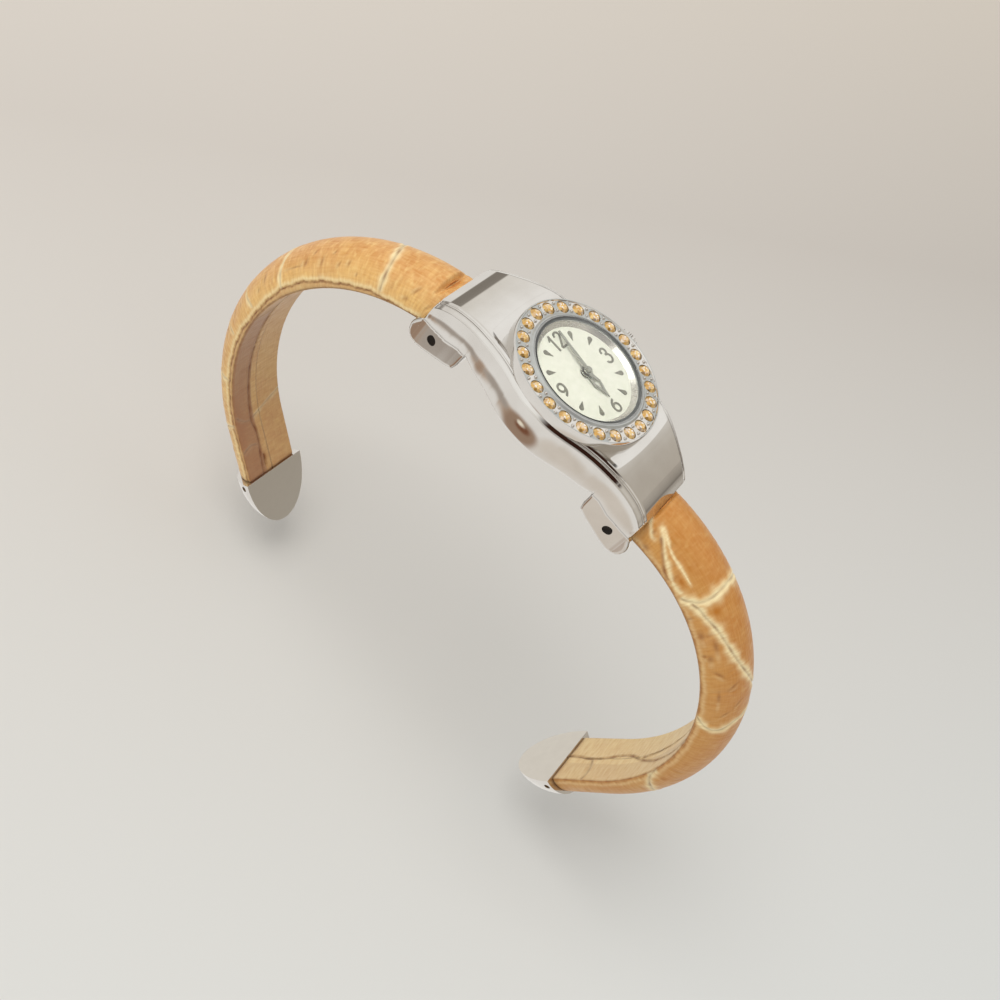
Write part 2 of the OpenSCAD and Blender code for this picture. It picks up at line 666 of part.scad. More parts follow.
coil_at_share = [-0.645, 0.403];
coil_angle = 50;
coil_length = movement_r*0.52;
coil_r = movement_r*0.11;
coil_z = plate_z - coil_r - running_gap*2;
stator_z = plate_z - wheel_thickness*6;
module stator() color([0.55, 0.55, 0.58]) lift() difference() {
  translate([0, 0, stator_z]) linear_extrude(wheel_thickness) difference() {
    union() {
      at_rotor() circle(r = arbor_r*5.2);
      bar([third_d*cos(third_wheel_at_angle) + rotor_d*cos(rotor_at_angle),
        third_d*sin(third_wheel_at_angle) + rotor_d*sin(rotor_at_angle)],
        coil_at_share*movement_r + [cos(coil_angle), sin(coil_angle)]*coil_length*0.62, arbor_r*3);
    }
    at_rotor() circle(r = arbor_r*3.1);
  }
  translate([0, 0, coil_z]) translate(coil_at_share*movement_r) rotate([0, 0, coil_angle])
    rod_x(coil_r*0.45, coil_length*1.3);
}
module coil_core() color([0.5, 0.5, 0.5]) lift() translate([0, 0, coil_z])
  translate(coil_at_share*movement_r) rotate([0, 0, coil_angle])
  rod_x(coil_r*0.45, coil_length*1.3);
module coil_winding() color([0.75, 0.4, 0.2]) lift() translate([0, 0, coil_z])
  translate(coil_at_share*movement_r) rotate([0, 0, coil_angle])
  difference() {
    rod_x(coil_r, coil_length);
    rod_x(coil_r*0.45, coil_length*2);
  }

board_z = plate_z - wheel_thickness*5;
module circuit_board() color([0.1, 0.4, 0.2]) lift() translate([0, 0, board_z])
  linear_extrude(wheel_thickness) intersection() {
  difference() {
    circle(r = movement_r*0.95);
    translate(battery_at) circle(r = battery_diameter/2 + running_gap*4);
  }
  translate([movement_r*0.2, -movement_r*1.15]) square([movement_r, movement_r]);
}
module circuit_chip() color([0.1, 0.1, 0.1]) lift()
  translate([movement_r*0.7, -movement_r*0.3, board_z - wheel_thickness*2])
    cube([movement_r*0.15, movement_r*0.13, wheel_thickness*2]);
module quartz_can() color(steel) lift() translate([movement_r*0.53, -movement_r*0.58,
  board_z - coil_r*0.75]) rotate([0, 0, 45])
  rod_x(coil_r*0.75, movement_r*0.4);
module battery() color(steel) lift() translate([battery_at[0], battery_at[1], battery_z]) {
  cylinder(r = battery_diameter/2, h = battery_thickness*0.85);
  translate([0, 0, battery_thickness*0.85]) cylinder(r = battery_diameter*0.4, h = battery_thickness*0.15);
}
module battery_clamp() color(steel) lift() translate([0, 0, battery_z - clamp_thickness])
  linear_extrude(clamp_thickness) difference() {
  a = clamp_post_shares[0];
  b = clamp_post_shares[1];
  bar(a*movement_r*1.05 + (a - b)*post_r, b*movement_r + (b - a)*post_r, post_r*3);
  at_posts(clamp_post_shares) circle(r = screw_r);
}
module screw(depth) {
  difference() {
    translate([0, 0, -plate_thickness/4]) cylinder(r = post_r*0.9, h = plate_thickness/4);
    translate([-post_r, -post_r/6, -plate_thickness/2]) cube([2*post_r, post_r/3, plate_thickness*0.35]);
  }
  cylinder(r = screw_r, h = depth);
}
module movement_screws() color(steel) lift() {
  at_posts(clamp_post_shares) translate([0, 0, battery_z - clamp_thickness]) screw(plate_thickness);
  at_posts(bridge_post_shares) translate([0, 0, movement_foot_z]) screw(plate_thickness);
}

clutch_x = stem_end + clutch_length*0.3;
module clutch_wheel() color(steel) lift() translate([clutch_x, 0, stem_z]) rotate([0, 90, 0]) difference() {
  union() {
    linear_extrude(clutch_length*0.35) gear2(gear_module, clutch_teeth);
    cylinder(r = clutch_r*0.75, h = clutch_length);
    translate([0, 0, clutch_length*0.65]) cylinder(r = clutch_r, h = clutch_length*0.35);
  }
  translate([-square_side/2 - running_gap/2, -square_side/2 - running_gap/2, -clutch_length])
    cube([square_side + running_gap, square_side + running_gap, 3*clutch_length]);
}
module clutch_yoke() color(steel) lift() translate([clutch_x + clutch_length*0.4, 0, 0]) difference() {
  translate([0, -clutch_r*1.5, stem_z - clutch_r*0.4])
    cube([clutch_length*0.2, clutch_r*3, plate_z - stem_z + clutch_r*0.4]);
  translate([-clutch_length, 0, stem_z]) rotate([0, 90, 0])
    cylinder(r = clutch_r*0.75 + running_gap, h = 3*clutch_length);
  translate([-clutch_length, -clutch_r*0.75 - running_gap, stem_z - clutch_r*2])
    cube([3*clutch_length, clutch_r*1.5 + 2*running_gap, clutch_r*2]);
}
crown_x = half_width - tube_wall/2 + crown_gap;
crown_r = crown_diameter/2;
crown_bore_r = tube_out_r + stem_diameter*0.3;
crown_bore = crown_length*0.55;
module stem() color(steel) lift() translate([stem_end, 0, stem_z]) rotate([0, 90, 0]) {
  translate([-square_side/2, -square_side/2, 0]) cube([square_side, square_side, square_length + stem_r]);
  translate([0, 0, square_length]) cylinder(r = stem_r,
    h = crown_x + crown_bore + crown_length/5 - stem_end - square_length);
}
module crown() color(steel) lift() translate([crown_x, 0, stem_z]) rotate([0, 90, 0]) difference() {
  union() {
    linear_extrude(crown_length*0.75) polygon([for (i = [0:4*flute_count - 1]) let (t = i*90/flute_count,
      p = crown_r*(i % 4 < 2 ? 1 : 0.94)) [p*cos(t), p*sin(t)]]);
    translate([0, 0, crown_length*0.75]) cylinder(r1 = crown_r*0.93, r2 = crown_r*0.72,
      h = crown_length*0.17);
    translate([0, 0, crown_length*0.92]) cylinder(r1 = crown_r*0.72, r2 = crown_r*0.4,
      h = crown_length*0.08);
  }
  translate([0, 0, -crown_length]) cylinder(r = crown_bore_r, h = crown_length + crown_bore);
  cylinder(r = stem_r, h = crown_bore + crown_length/5);
}
module crown_gasket() color([0.15, 0.15, 0.15]) lift()
  translate([crown_x + crown_bore - crown_length*0.2, 0, stem_z]) rotate([0, 90, 0])
  tube(crown_bore_r, stem_r, crown_length*0.2);
module crown_tube() color(steel) lift() translate([bore_r + running_gap*2, 0, stem_z]) rotate([0, 90, 0])
  tube(tube_out_r, tube_r, crown_x + crown_bore*0.55 - bore_r - running_gap*2);

module movement_ring() color([0.75, 0.75, 0.72]) lift() difference() {
  union() {
    translate([0, 0, movement_foot_z - running_gap*4])
      cylinder(r = holder_r, h = ledge_z - movement_foot_z + running_gap*4);
    translate([0, 0, ledge_z - collar_depth/2])
      cylinder(r = dial_diameter/2, h = dial_foot_z - ledge_z + collar_depth/2);
  }
  translate([0, 0, battery_z*2]) cylinder(r = movement_r, h = -battery_z*3);
  translate([0, 0, stem_z]) rotate([0, 90, 0]) cylinder(r = tube_r*1.3, h = holder_r*2);
}
module case_back() color(steel) lift() {
  translate([0, 0, back_foot_z]) cylinder(r = back_r, h = back_thickness*0.65);
  translate([0, 0, back_foot_z]) cylinder(r = back_r - back_gasket, h = back_thickness);
}
module case_back_gasket() color([0.15, 0.15, 0.15]) lift()
  translate([0, 0, back_foot_z + back_thickness*0.65])
    tube(back_r, back_r - back_gasket, back_thickness*0.35);

// section of an arm, drawn with x away from the wrist and y across
module section(r, c, inner, w) {
  intersection() {
    translate([c, 0]) circle(r = r);
    translate([inner, -w]) square([2*r, 2*w]);
  }
}
module leather_section(t) { section(arm_section_r - t, arm_section_c, arm_radius + t, arm_width); }
module strip_section(t, w) { translate([core_r - t/2, -w/2]) square([t, w]); }
module bend(from, to) {
  translate([0, 0, -arm_centre]) rotate([0, 90, 0]) rotate([0, 0, 180 - to])
    rotate_extrude(angle = to - from) children();
}
module arm_end(along) {
  translate([0, 0, -arm_centre]) rotate([90 - arm_turn_angle, 0, 0]) rotate([180, 0, 90])
    translate([0, 0, along]) children();
}
module straight(from, to) { arm_end(from) linear_extrude(to - from) children(); }
grip_inset = cap_wall/2;
leather_end = arm_straight + cap_grip;
// what the leather and its filling leave free round the knuckle and under the lug
module hinge_room() {
  rod_x(knuckle_r, 2*arm_width);
  difference() {
    translate([-arm_width, -arm_height, knuckle_r])
      cube([2*arm_width, arm_height + pin_inset + channel_radius*0.15, 2*arm_height]);
    rod_x(arm_full_r, 3*arm_width);
  }
}
module seam() {
  translate([arm_radius - leather_thickness, -seam_width/2]) square([3*leather_thickness, seam_width]);
}
module arm_leather() color([0.76, 0.56, 0.33]) {
  difference() {
    union() {
      difference() {
        union() {
          bend(arm_start_angle, arm_turn_angle) leather_section(0);
          straight(0, arm_straight) leather_section(0);
        }
        bend(arm_start_angle - 1, arm_turn_angle) leather_section(leather_thickness);
        straight(0, leather_end) leather_section(leather_thickness);
      }
      straight(arm_straight, leather_end) difference() {
        leather_section(grip_inset);
        leather_section(leather_thickness);
      }
    }
    hinge_room();
    bend(arm_start_angle - 1, arm_turn_angle) seam();
    straight(0, 2*leather_end) seam();
  }
}
core_start_angle = 6;
core_end = leather_end + cap_grip;
knuckle_end_angle = 10;
module knuckle_section() {
  intersection() {
    translate([knuckle_low, -core_width*0.6]) square([arm_height*0.45, core_width*1.2]);
    leather_section(leather_thickness + 2*running_gap);
  }
}
module arm_padding() color([0.85, 0.82, 0.75]) {
  difference() {
    union() {
      bend(arm_start_angle, arm_turn_angle) leather_section(leather_thickness);
      straight(0, leather_end) leather_section(leather_thickness);
    }
    hinge_room();
    bend(arm_start_angle - 1, arm_turn_angle) strip_section(core_thickness, core_width);
    straight(0, 2*leather_end) strip_section(core_thickness, core_width);
    bend(arm_start_angle - 1, knuckle_end_angle) knuckle_section();
  }
}
module arm_core() color([0.6, 0.6, 0.62]) {
  bend(core_start_angle, arm_turn_angle) strip_section(core_thickness, core_width);
  straight(0, core_end) strip_section(core_thickness, core_width);
}
module arm_knuckle() color(steel) {
  difference() {
    union() {
      rod_x(knuckle_r, 2*knuckle_half);
      bend(0, knuckle_end_angle) knuckle_section();
    }
    rod_x(pin_r + running_gap, 3*knuckle_half);
    bend(core_start_angle, knuckle_end_angle + 1) strip_section(core_thickness, core_width);
  }
}
module arm_washers() color(brass) for (s = [0, 1])
  mirror([s, 0, 0]) translate([knuckle_half + washer_clear, 0, 0]) rotate([0, 90, 0])
    tube(knuckle_r*0.88, pin_r + running_gap, washer_thickness);
module arm_pin() color(steel) rod_x(pin_r, 2*(ear_side - pin_recess));
module bullet(r, l) {
  rotate_extrude() polygon(concat([[0, 0]], [for (i = [0:dome_steps]) let (t = i*90/dome_steps)
    [r*cos(t), l*sin(t)]]));
}
dome_steps = 12;
cap_flat = arm_radius - (cap_height - arm_height)/2;
cap_c = cap_flat + cap_height - cap_section_r;
module half_bullet(t) {
  intersection() {
    translate([cap_c, 0, 0]) bullet(cap_section_r - t, cap_length - t);
    translate([cap_flat + t, -cap_width, 0]) cube([2*cap_width, 2*cap_width, 2*cap_length]);
  }
}
module arm_cap() color(steel) arm_end(arm_straight) difference() {
  half_bullet(0);
  intersection() {
    half_bullet(cap_wall);
    translate([0, -cap_width, cap_grip]) cube([2*arm_radius, 2*cap_width, cap_length]);
  }
  translate([0, 0, -cap_grip]) linear_extrude(2*cap_grip) leather_section(grip_inset);
  translate([arm_radius + arm_height*0.2, cap_width, cap_grip/2]) rotate([90, 0, 0])
    cylinder(r = cap_wall, h = 2*cap_width);
}

module upper() lift() translate([0, pin_y, pin_z]) rotate([upper_angle, 0, 0]) children();
module lower() lift() mirror([0, 1, 0]) translate([0, pin_y, pin_z]) rotate([lower_angle, 0, 0]) children();

module hinge_pin_12() upper() arm_pin();
module hinge_pin_6() lower() arm_pin();
module hinge_washers_12() upper() arm_washers();
module hinge_washers_6() lower() arm_washers();
module knuckle_12() upper() arm_knuckle();
module knuckle_6() lower() arm_knuckle();
module arm_core_12() upper() arm_core();
module arm_core_6() lower() arm_core();
module arm_padding_12() upper() arm_padding();
module arm_padding_6() lower() arm_padding();
module leather_12() upper() arm_leather();
module leather_6() lower() arm_leather();
module end_cap_12() upper() arm_cap();
module end_cap_6() lower() arm_cap();

case_body();
bezel();
bezel_stones();
crystal();
crystal_gasket();
dial_ring();
dial();
dial_marks();
hour_hand();
minute_hand();
minute_cap();
centre_arbor();
centre_wheel();
hour_wheel();
minute_wheel();
setting_wheel();
third_wheel();
rotor();
main_plate();
train_bridge();
stator();
coil_core();
coil_winding();
circuit_board();
circuit_chip();
quartz_can();
battery();
battery_clamp();
movement_screws();
clutch_wheel();
clutch_yoke();
stem();
crown();
crown_gasket();
crown_tube();
movement_ring();
case_back();
case_back_gasket();
hinge_pin_12();
hinge_washers_12();
knuckle_12();
arm_core_12();
arm_padding_12();
leather_12();
end_cap_12();
hinge_pin_6();
hinge_washers_6();
knuckle_6();
arm_core_6();
arm_padding_6();
leather_6();
end_cap_6();
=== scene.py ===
"""Looks of the cuff watch: materials, creased leather, set stones, camera, light and floor.

Lengths are in millimetres times MM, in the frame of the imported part.
"""

import json
import math

import bmesh
import bpy
import numpy as np
from mathutils import Matrix, Vector


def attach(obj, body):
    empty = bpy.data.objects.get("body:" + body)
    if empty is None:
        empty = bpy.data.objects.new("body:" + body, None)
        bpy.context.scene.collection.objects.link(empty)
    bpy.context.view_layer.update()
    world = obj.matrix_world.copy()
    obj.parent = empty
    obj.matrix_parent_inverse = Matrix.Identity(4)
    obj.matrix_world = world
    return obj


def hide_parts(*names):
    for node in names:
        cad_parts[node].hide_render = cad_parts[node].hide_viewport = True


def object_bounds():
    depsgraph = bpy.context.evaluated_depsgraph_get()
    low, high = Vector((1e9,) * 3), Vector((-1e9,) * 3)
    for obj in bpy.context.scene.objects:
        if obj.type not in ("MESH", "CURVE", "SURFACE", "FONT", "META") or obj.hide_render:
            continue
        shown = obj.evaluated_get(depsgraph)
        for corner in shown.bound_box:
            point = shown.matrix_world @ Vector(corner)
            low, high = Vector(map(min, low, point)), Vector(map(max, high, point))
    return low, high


MM = 0.001

# Camera: it stands at the 9 o'clock side, rolled as the photographer held it
CAMERA_AT = Vector((-102.48, -5.23, 115.62)) * MM
CAMERA_RIGHT = Vector((0.535693, -0.679348, 0.501516))
CAMERA_DOWN = Vector((-0.485461, -0.733731, -0.47536))
CAMERA_AHEAD = Vector((0.690913, 0.01118, -0.722852))
SENSOR = 36
LENS = 44.284
CLIP_START = 5 * MM

# Floor and light: away from the camera the floor goes from near-white over grey to beige
FLOOR_SIZE = 6000 * MM
FLOOR_BELOW = 6 * MM
FADE_ALONG, FADE_FROM, FADE_TO = (0.55, 0.83, 0), -0.10, 0.32
FLOOR_COLORS = [(0, (222, 223, 219)), (0.45, (204, 197, 188)), (1, (237, 226, 210))]
WORLD_LEVEL = 0.7
KEY_AT, KEY_TO = (-0.12, 0.22, 0.46), (0, 0, 0.02)
KEY_SIZE = 0.35
KEY_WATTS = 1.4

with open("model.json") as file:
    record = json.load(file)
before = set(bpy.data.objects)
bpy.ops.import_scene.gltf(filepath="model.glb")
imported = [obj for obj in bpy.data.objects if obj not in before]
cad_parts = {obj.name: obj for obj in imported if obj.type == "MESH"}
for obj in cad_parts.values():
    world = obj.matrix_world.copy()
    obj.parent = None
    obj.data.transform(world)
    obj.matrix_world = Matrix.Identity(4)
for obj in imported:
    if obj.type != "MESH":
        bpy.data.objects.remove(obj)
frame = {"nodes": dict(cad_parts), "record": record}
cad_low, cad_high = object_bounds()
nodes = frame["nodes"]


def principled(name, color, metallic=0.0, roughness=0.5, **inputs):
    m = bpy.data.materials.new(name)
    m.use_nodes = True
    b = m.node_tree.nodes["Principled BSDF"]
    b.inputs["Base Color"].default_value = (*color, 1)
    b.inputs["Metallic"].default_value = metallic
    b.inputs["Roughness"].default_value = roughness
    for k, v in inputs.items():
        b.inputs[k.replace("_", " ")].default_value = v
    return m


def srgb(r, g, b):
    def f(c):
        c /= 255
        return c / 12.92 if c <= 0.04045 else ((c + 0.055) / 1.055) ** 2.4
    return f(r), f(g), f(b)


# What polished metal mirrors of the floor: (place in mm, inner and outer radius, colour)
FLOOR_MIRRORED = srgb(240, 237, 232)
FLOOR_PATCHES = [
    ((-60, -62), 20, 60, srgb(222, 213, 202)),
    ((-62, 32), 10, 28, srgb(190, 168, 148)),
    ((-68, 8), 22, 42, srgb(164, 138, 118)),
    ((-74, 5), 6, 16, srgb(128, 84, 62)),
    ((-80, 10), 3, 9, srgb(255, 246, 226)),
    ((-58, 54), 5, 18, srgb(176, 166, 156)),
]
# The dark line where the room's walls meet its floor: (elevation, inner and outer angle), colour
HORIZON, HORIZON_COLOR = (6, 2, 9), srgb(138, 131, 122)
# Mirrored of the room: its walls, then (azimuth, elevation, inner and outer angle, colour)
ROOM_WALLS = srgb(228, 223, 214)
ROOM = [
    (0, 46, 22, 50, srgb(252, 250, 246)),
    (95, 25, 15, 55, srgb(236, 232, 226)),
    (-60, 20, 15, 55, srgb(190, 182, 170)),
    (-8, 13, 5, 18, srgb(96, 94, 90)),
    (220, 48, 19, 29, srgb(52, 30, 22)),
    (223, 66, 10, 18, srgb(52, 30, 22)),
    (184, 42, 4, 10, srgb(60, 36, 26)),
    (240, 44, 8, 16, srgb(52, 30, 22)),
    (199, 50, 9, 17, srgb(60, 36, 26)),
    (119, 61, 5, 15, srgb(255, 255, 255)),
    (140, 40, 18, 42, srgb(255, 254, 250)),
]
# What the camera sees of the room beyond the floor
BACKDROP = srgb(219, 211, 200)


def over(t, below, share, color):
    """A colour laid over what is below it, by a share from 0 to 1."""
    n = t.nodes.new("ShaderNodeMix")
    n.data_type = "RGBA"
    t.links.new(share, n.inputs[0])
    if isinstance(below, tuple):
        n.inputs[6].default_value = (*below, 1)
    else:
        t.links.new(below, n.inputs[6])
    n.inputs[7].default_value = (*color, 1)
    return n.outputs[2]


def ranged(t, source, start, end, to=(0, 1), smooth=False):
    """A number that goes from to[0] to to[1] while the source goes from start to end."""
    n = t.nodes.new("ShaderNodeMapRange")
    n.interpolation_type = "SMOOTHSTEP" if smooth else "LINEAR"
    n.inputs["From Min"].default_value, n.inputs["From Max"].default_value = start, end
    n.inputs["To Min"].default_value, n.inputs["To Max"].default_value = to
    t.links.new(source, n.inputs["Value"])
    return n.outputs[0]


def color_ramp(t, source, stops):
    """Colours through stops of (place, colour), the first at 0 and the last at 1."""
    n = t.nodes.new("ShaderNodeValToRGB")
    elements = n.color_ramp.elements
    elements[0].color = (*srgb(*stops[0][1]), 1)
    elements[1].color = (*srgb(*stops[-1][1]), 1)
    for place, color in stops[1:-1]:
        elements.new(place).color = (*srgb(*color), 1)
    t.links.new(source, n.inputs[0])
    return n.outputs[0]


def maths(t, operation, *values, clamp=False):
    """A sum, product or the like of sockets and plain numbers."""
    n = t.nodes.new("ShaderNodeMath")
    n.operation = operation
    n.use_clamp = clamp
    for socket, value in zip(n.inputs, values):
        if isinstance(value, (int, float)):
            socket.default_value = value
        else:
            t.links.new(value, socket)
    return n.outputs[0]


def vector_value(t, operation, source, other):
    """A number from two vectors, such as their distance."""
    n = t.nodes.new("ShaderNodeVectorMath")
    n.operation = operation
    n.inputs[1].default_value = other
    t.links.new(source, n.inputs[0])
    return n.outputs["Value"]


def noise(t, place, scale, detail, stretch=(1, 1, 1)):
    mapping = t.nodes.new("ShaderNodeMapping")
    mapping.inputs["Scale"].default_value = stretch
    t.links.new(place, mapping.inputs["Vector"])
    n = t.nodes.new("ShaderNodeTexNoise")
    n.inputs["Scale"].default_value = scale
    n.inputs["Detail"].default_value = detail
    t.links.new(mapping.outputs[0], n.inputs["Vector"])
    return n.outputs[0]


def attribute(t, name):
    n = t.nodes.new("ShaderNodeAttribute")
    n.attribute_name = name
    return n


def raise_surface(t, height, distance):
    """Relief on the shader from a height between 0 and 1, times a distance in mm."""
    n = t.nodes.new("ShaderNodeBump")
    n.inputs["Strength"].default_value = 0.5
    n.inputs["Distance"].default_value = distance * MM
    t.links.new(height, n.inputs["Height"])
    t.links.new(n.outputs[0], t.nodes["Principled BSDF"].inputs["Normal"])


def mix_shaders(t, share, first, second):
    """The first shader where the share is 0, the second where it is 1."""
    n = t.nodes.new("ShaderNodeMixShader")
    t.links.new(share, n.inputs[0])
    t.links.new(first.outputs[0], n.inputs[1])
    t.links.new(second.outputs[0], n.inputs[2])
    return n.outputs[0]


def worn(name, color, other, metallic, low, high, scale=250, stretch=(1, 1, 1), relief=0.0, **inputs):
    """A material whose colour and gloss vary a little over the surface, as a real finish does."""
    m = principled(name, srgb(*color), metallic, low, **inputs)
    t = m.node_tree
    b = t.nodes["Principled BSDF"]
    place = t.nodes.new("ShaderNodeTexCoord").outputs["Object"]
    spots = noise(t, place, scale, 3, stretch)
    share = ranged(t, spots, 0.3, 0.7)
    t.links.new(over(t, srgb(*color), share, srgb(*other)), b.inputs["Base Color"])
    t.links.new(ranged(t, share, 0, 1, (low, high)), b.inputs["Roughness"])
    if relief:
        raise_surface(t, spots, relief)
    return m


def darken_by_painted_edge_shade(m, color):
    """Lays a painted shade over a metal, where its mesh says: darker reflections painted along edges."""
    t = m.node_tree
    base = t.nodes["Principled BSDF"].inputs["Base Color"]
    painted_shaded = over(t, base.links[0].from_socket, attribute(t, "painted_edge_shade").outputs["Fac"], srgb(*color))
    t.links.new(painted_shaded, base)


BRUSHED = (1, 0.04, 1)
chrome = worn("chrome", (228, 226, 223), (220, 217, 213), 1.0, 0.05, 0.09)
# painted shade: the darker reflections along the case's foot edge and ear line
darken_by_painted_edge_shade(chrome, (112, 104, 96))
ring_satin = worn("ring_satin", (190, 192, 189), (178, 180, 177), 0.5, 0.3, 0.4, 1500, BRUSHED)
cap_satin = worn("cap_satin", (222, 217, 208), (219, 214, 205), 1.0, 0.3, 0.33, 900)
satin = worn("satin_steel", (192, 189, 186), (176, 172, 168), 1.0, 0.24, 0.34, 1800, BRUSHED, 0.004)
# the pins' dark steel, darkened further as painted shade of their recessed holes
dark_steel = worn("pin_steel", (62, 59, 56), (44, 42, 40), 1.0, 0.3, 0.5, 1500)
glass = worn("crystal", (255, 255, 255), (252, 253, 251), 0.0, 0.01, 0.03, 300,
             IOR=1.5, Transmission_Weight=1.0)
rubber = worn("rubber", (30, 30, 32), (20, 20, 21), 0.0, 0.55, 0.7, 1200, relief=0.01)
grey_rubber = worn("grey_rubber", (158, 158, 154), (140, 140, 137), 0.0, 0.3, 0.45, 1200)
ring_paint = worn("dial_ring", (206, 203, 194), (190, 186, 176), 0.75, 0.2, 0.3, 900)
dial_paint = worn("dial_paint", (222, 222, 207), (214, 215, 198), 0.0, 0.35, 0.45, 1500, relief=0.002)
print_ink = worn("print_ink", (112, 110, 94), (98, 96, 82), 0.0, 0.4, 0.5, 2000)
hand_steel = worn("hand_steel", (170, 170, 160), (150, 150, 141), 0.9, 0.22, 0.32, 1500, BRUSHED)
brass = worn("brass", (214, 184, 110), (198, 166, 92), 1.0, 0.25, 0.35, 1200, BRUSHED)
holder = worn("holder_plastic", (208, 208, 198), (198, 198, 188), 0.0, 0.45, 0.55, 900, relief=0.006)
copper = worn("copper_wire", (198, 116, 70), (172, 94, 54), 1.0, 0.3, 0.4, 3000, (0.05, 1, 1), 0.02)
board = worn("board_green", (40, 100, 66), (32, 88, 56), 0.0, 0.4, 0.5, 900)
chip = worn("chip_black", (26, 26, 28), (18, 18, 20), 0.0, 0.5, 0.6, 1500, relief=0.004)
magnet = worn("magnet", (84, 84, 90), (70, 70, 76), 1.0, 0.35, 0.45, 1500)
filler = worn("padding", (206, 142, 78), (190, 124, 62), 0.0, 0.7, 0.85, 2200, relief=0.02)
leather = principled("leather", srgb(214, 160, 96), 0.0, 0.42)


def leather_nodes(m):
    """Golden tan with a fine cross grain, cream crease lips with painted highlights and dark creases of
    painted shade from the mesh's tone, and a dusky painted shade.
    """
    t = m.node_tree
    b = t.nodes["Principled BSDF"]
    place = t.nodes.new("ShaderNodeTexCoord").outputs["UV"]
    tone = attribute(t, "tone")
    split = t.nodes.new("ShaderNodeSeparateColor")
    t.links.new(tone.outputs["Color"], split.inputs[0])
    dark, pale, amber = split.outputs[:3]

    def blotches(scale, detail, stretch, low, high, most):
        """A share up to most where the noise is above low, in full from high."""
        return maths(t, "MULTIPLY", ranged(t, noise(t, place, scale, detail, stretch), low, high), most)

    weft = ranged(t, noise(t, place, 1, 2, (30, 5, 1)), 0.3, 0.7)
    warp = ranged(t, noise(t, place, 1, 2, (5, 36, 1)), 0.3, 0.7)
    pale_lips_and_highlights = maths(t, "MULTIPLY", pale, ranged(t, weft, 0, 1, (1.15, 0.7)), clamp=True)
    # (share, colour) of each layer, from the lowest up
    layers = [
        (ranged(t, tone.outputs["Alpha"], 0.3, 0.75), (240, 198, 118)),
        (blotches(1.6, 3, (1, 1, 1), 0.35, 0.68, 0.55), (206, 142, 84)),
        (blotches(5, 2, (1.4, 0.8, 1), 0.45, 0.7, 0.45), (244, 202, 126)),
        (blotches(13, 2, (1.3, 0.8, 1), 0.5, 0.72, 0.45), (252, 222, 150)),
        (maths(t, "MULTIPLY", weft, 0.42), (186, 122, 56)),
        (maths(t, "MULTIPLY", warp, 0.3), (250, 210, 146)),
        (amber, (184, 112, 20)),
        # pale crease lips, with painted highlights on the wrinkles' lips, in a band inside the fold and over
        # the 6 arm's inner face
        (pale_lips_and_highlights, (255, 238, 186)),
        # painted shade: dusky on the inner face, the turned edge and towards the far side
        (attribute(t, "dusk").outputs["Fac"], (152, 106, 80)),
        # dark lines; in the creases, wrinkles and fold they are painted shade in the grooves
        (dark, (122, 60, 14)),
    ]
    color = srgb(208, 148, 76)
    for share, shade in layers:
        color = over(t, color, share, srgb(*shade))
    t.links.new(color, b.inputs["Base Color"])
    raise_surface(t, maths(t, "ADD", weft, warp), 0.03)
    t.links.new(ranged(t, weft, 0, 1, (0.34, 0.5)), b.inputs["Roughness"])


leather_nodes(leather)
stone = principled("stone", srgb(226, 168, 92), 0.6, 0.06, Coat_Weight=0.5, Coat_Roughness=0.02)
# painted light on the facets: dark brown, gold, pale and white glints, for the stone's reflections and
# sparkle
FACET_PAINTED_LIGHT = [(0, (74, 42, 12)), (0.3, (248, 218, 154)), (0.6, (212, 162, 80)), (1, (255, 255, 255))]
facet_painted_light = color_ramp(stone.node_tree, attribute(stone.node_tree, "facet").outputs["Fac"], FACET_PAINTED_LIGHT)
stone.node_tree.links.new(facet_painted_light, stone.node_tree.nodes["Principled BSDF"].inputs["Base Color"])

# The material of each slot
LOOK = {
    "polished_steel": chrome, "cap_steel": chrome, "stones": stone, "crystal_glass": glass,
    "black_gasket": rubber, "grey_gasket": grey_rubber, "dial_ring_silver": ring_paint,
    "dial_cream": dial_paint, "dial_print": print_ink, "hand_steel": hand_steel, "brass": brass,
    "movement_steel": satin, "magnet": magnet, "copper_wire": copper, "board_green": board,
    "chip_black": chip, "holder_plastic": holder, "pin_steel": dark_steel, "core_steel": satin,
    "padding": filler, "leather": leather,
}
for part in frame["record"]["subparts"]:
    o = nodes[part["node"]]
    o.data.materials.clear()
    o.data.materials.append(LOOK[part["material_slot"]])
# the lamp's light reaches the dial through the clear crystal
nodes["crystal"].visible_shadow = False


def mesh_object(name, vertices, faces, material):
    mesh = bpy.data.meshes.new(name)
    mesh.from_pydata(vertices, [], faces)
    o = bpy.data.objects.new(name, mesh)
    bpy.context.scene.collection.objects.link(o)
    if material:
        mesh.materials.append(material)
    return o


def point_numbers(mesh, name, values):
    """Gives each vertex of a mesh a number that its material reads."""
    mesh.attributes.new(name, "FLOAT", "POINT").data.foreach_set("value", values.astype(np.float32).ravel())


# Arms: a D section swept round an arc, then straight into the cap; the same sizes as the solid arms
STONE_PLANE = 32.0
PIN_Y, PIN_DROP = 14.0, 8.3
ARM_RADIUS, ARM_INSET, ARM_WIDTH, ARM_HEIGHT = 23.2, 0.1, 9.0, 4.4
ARM_TURN, ARM_STRAIGHT = 124.0, 7.0
UPPER_ANGLE, LOWER_ANGLE = -10.75, 8.0
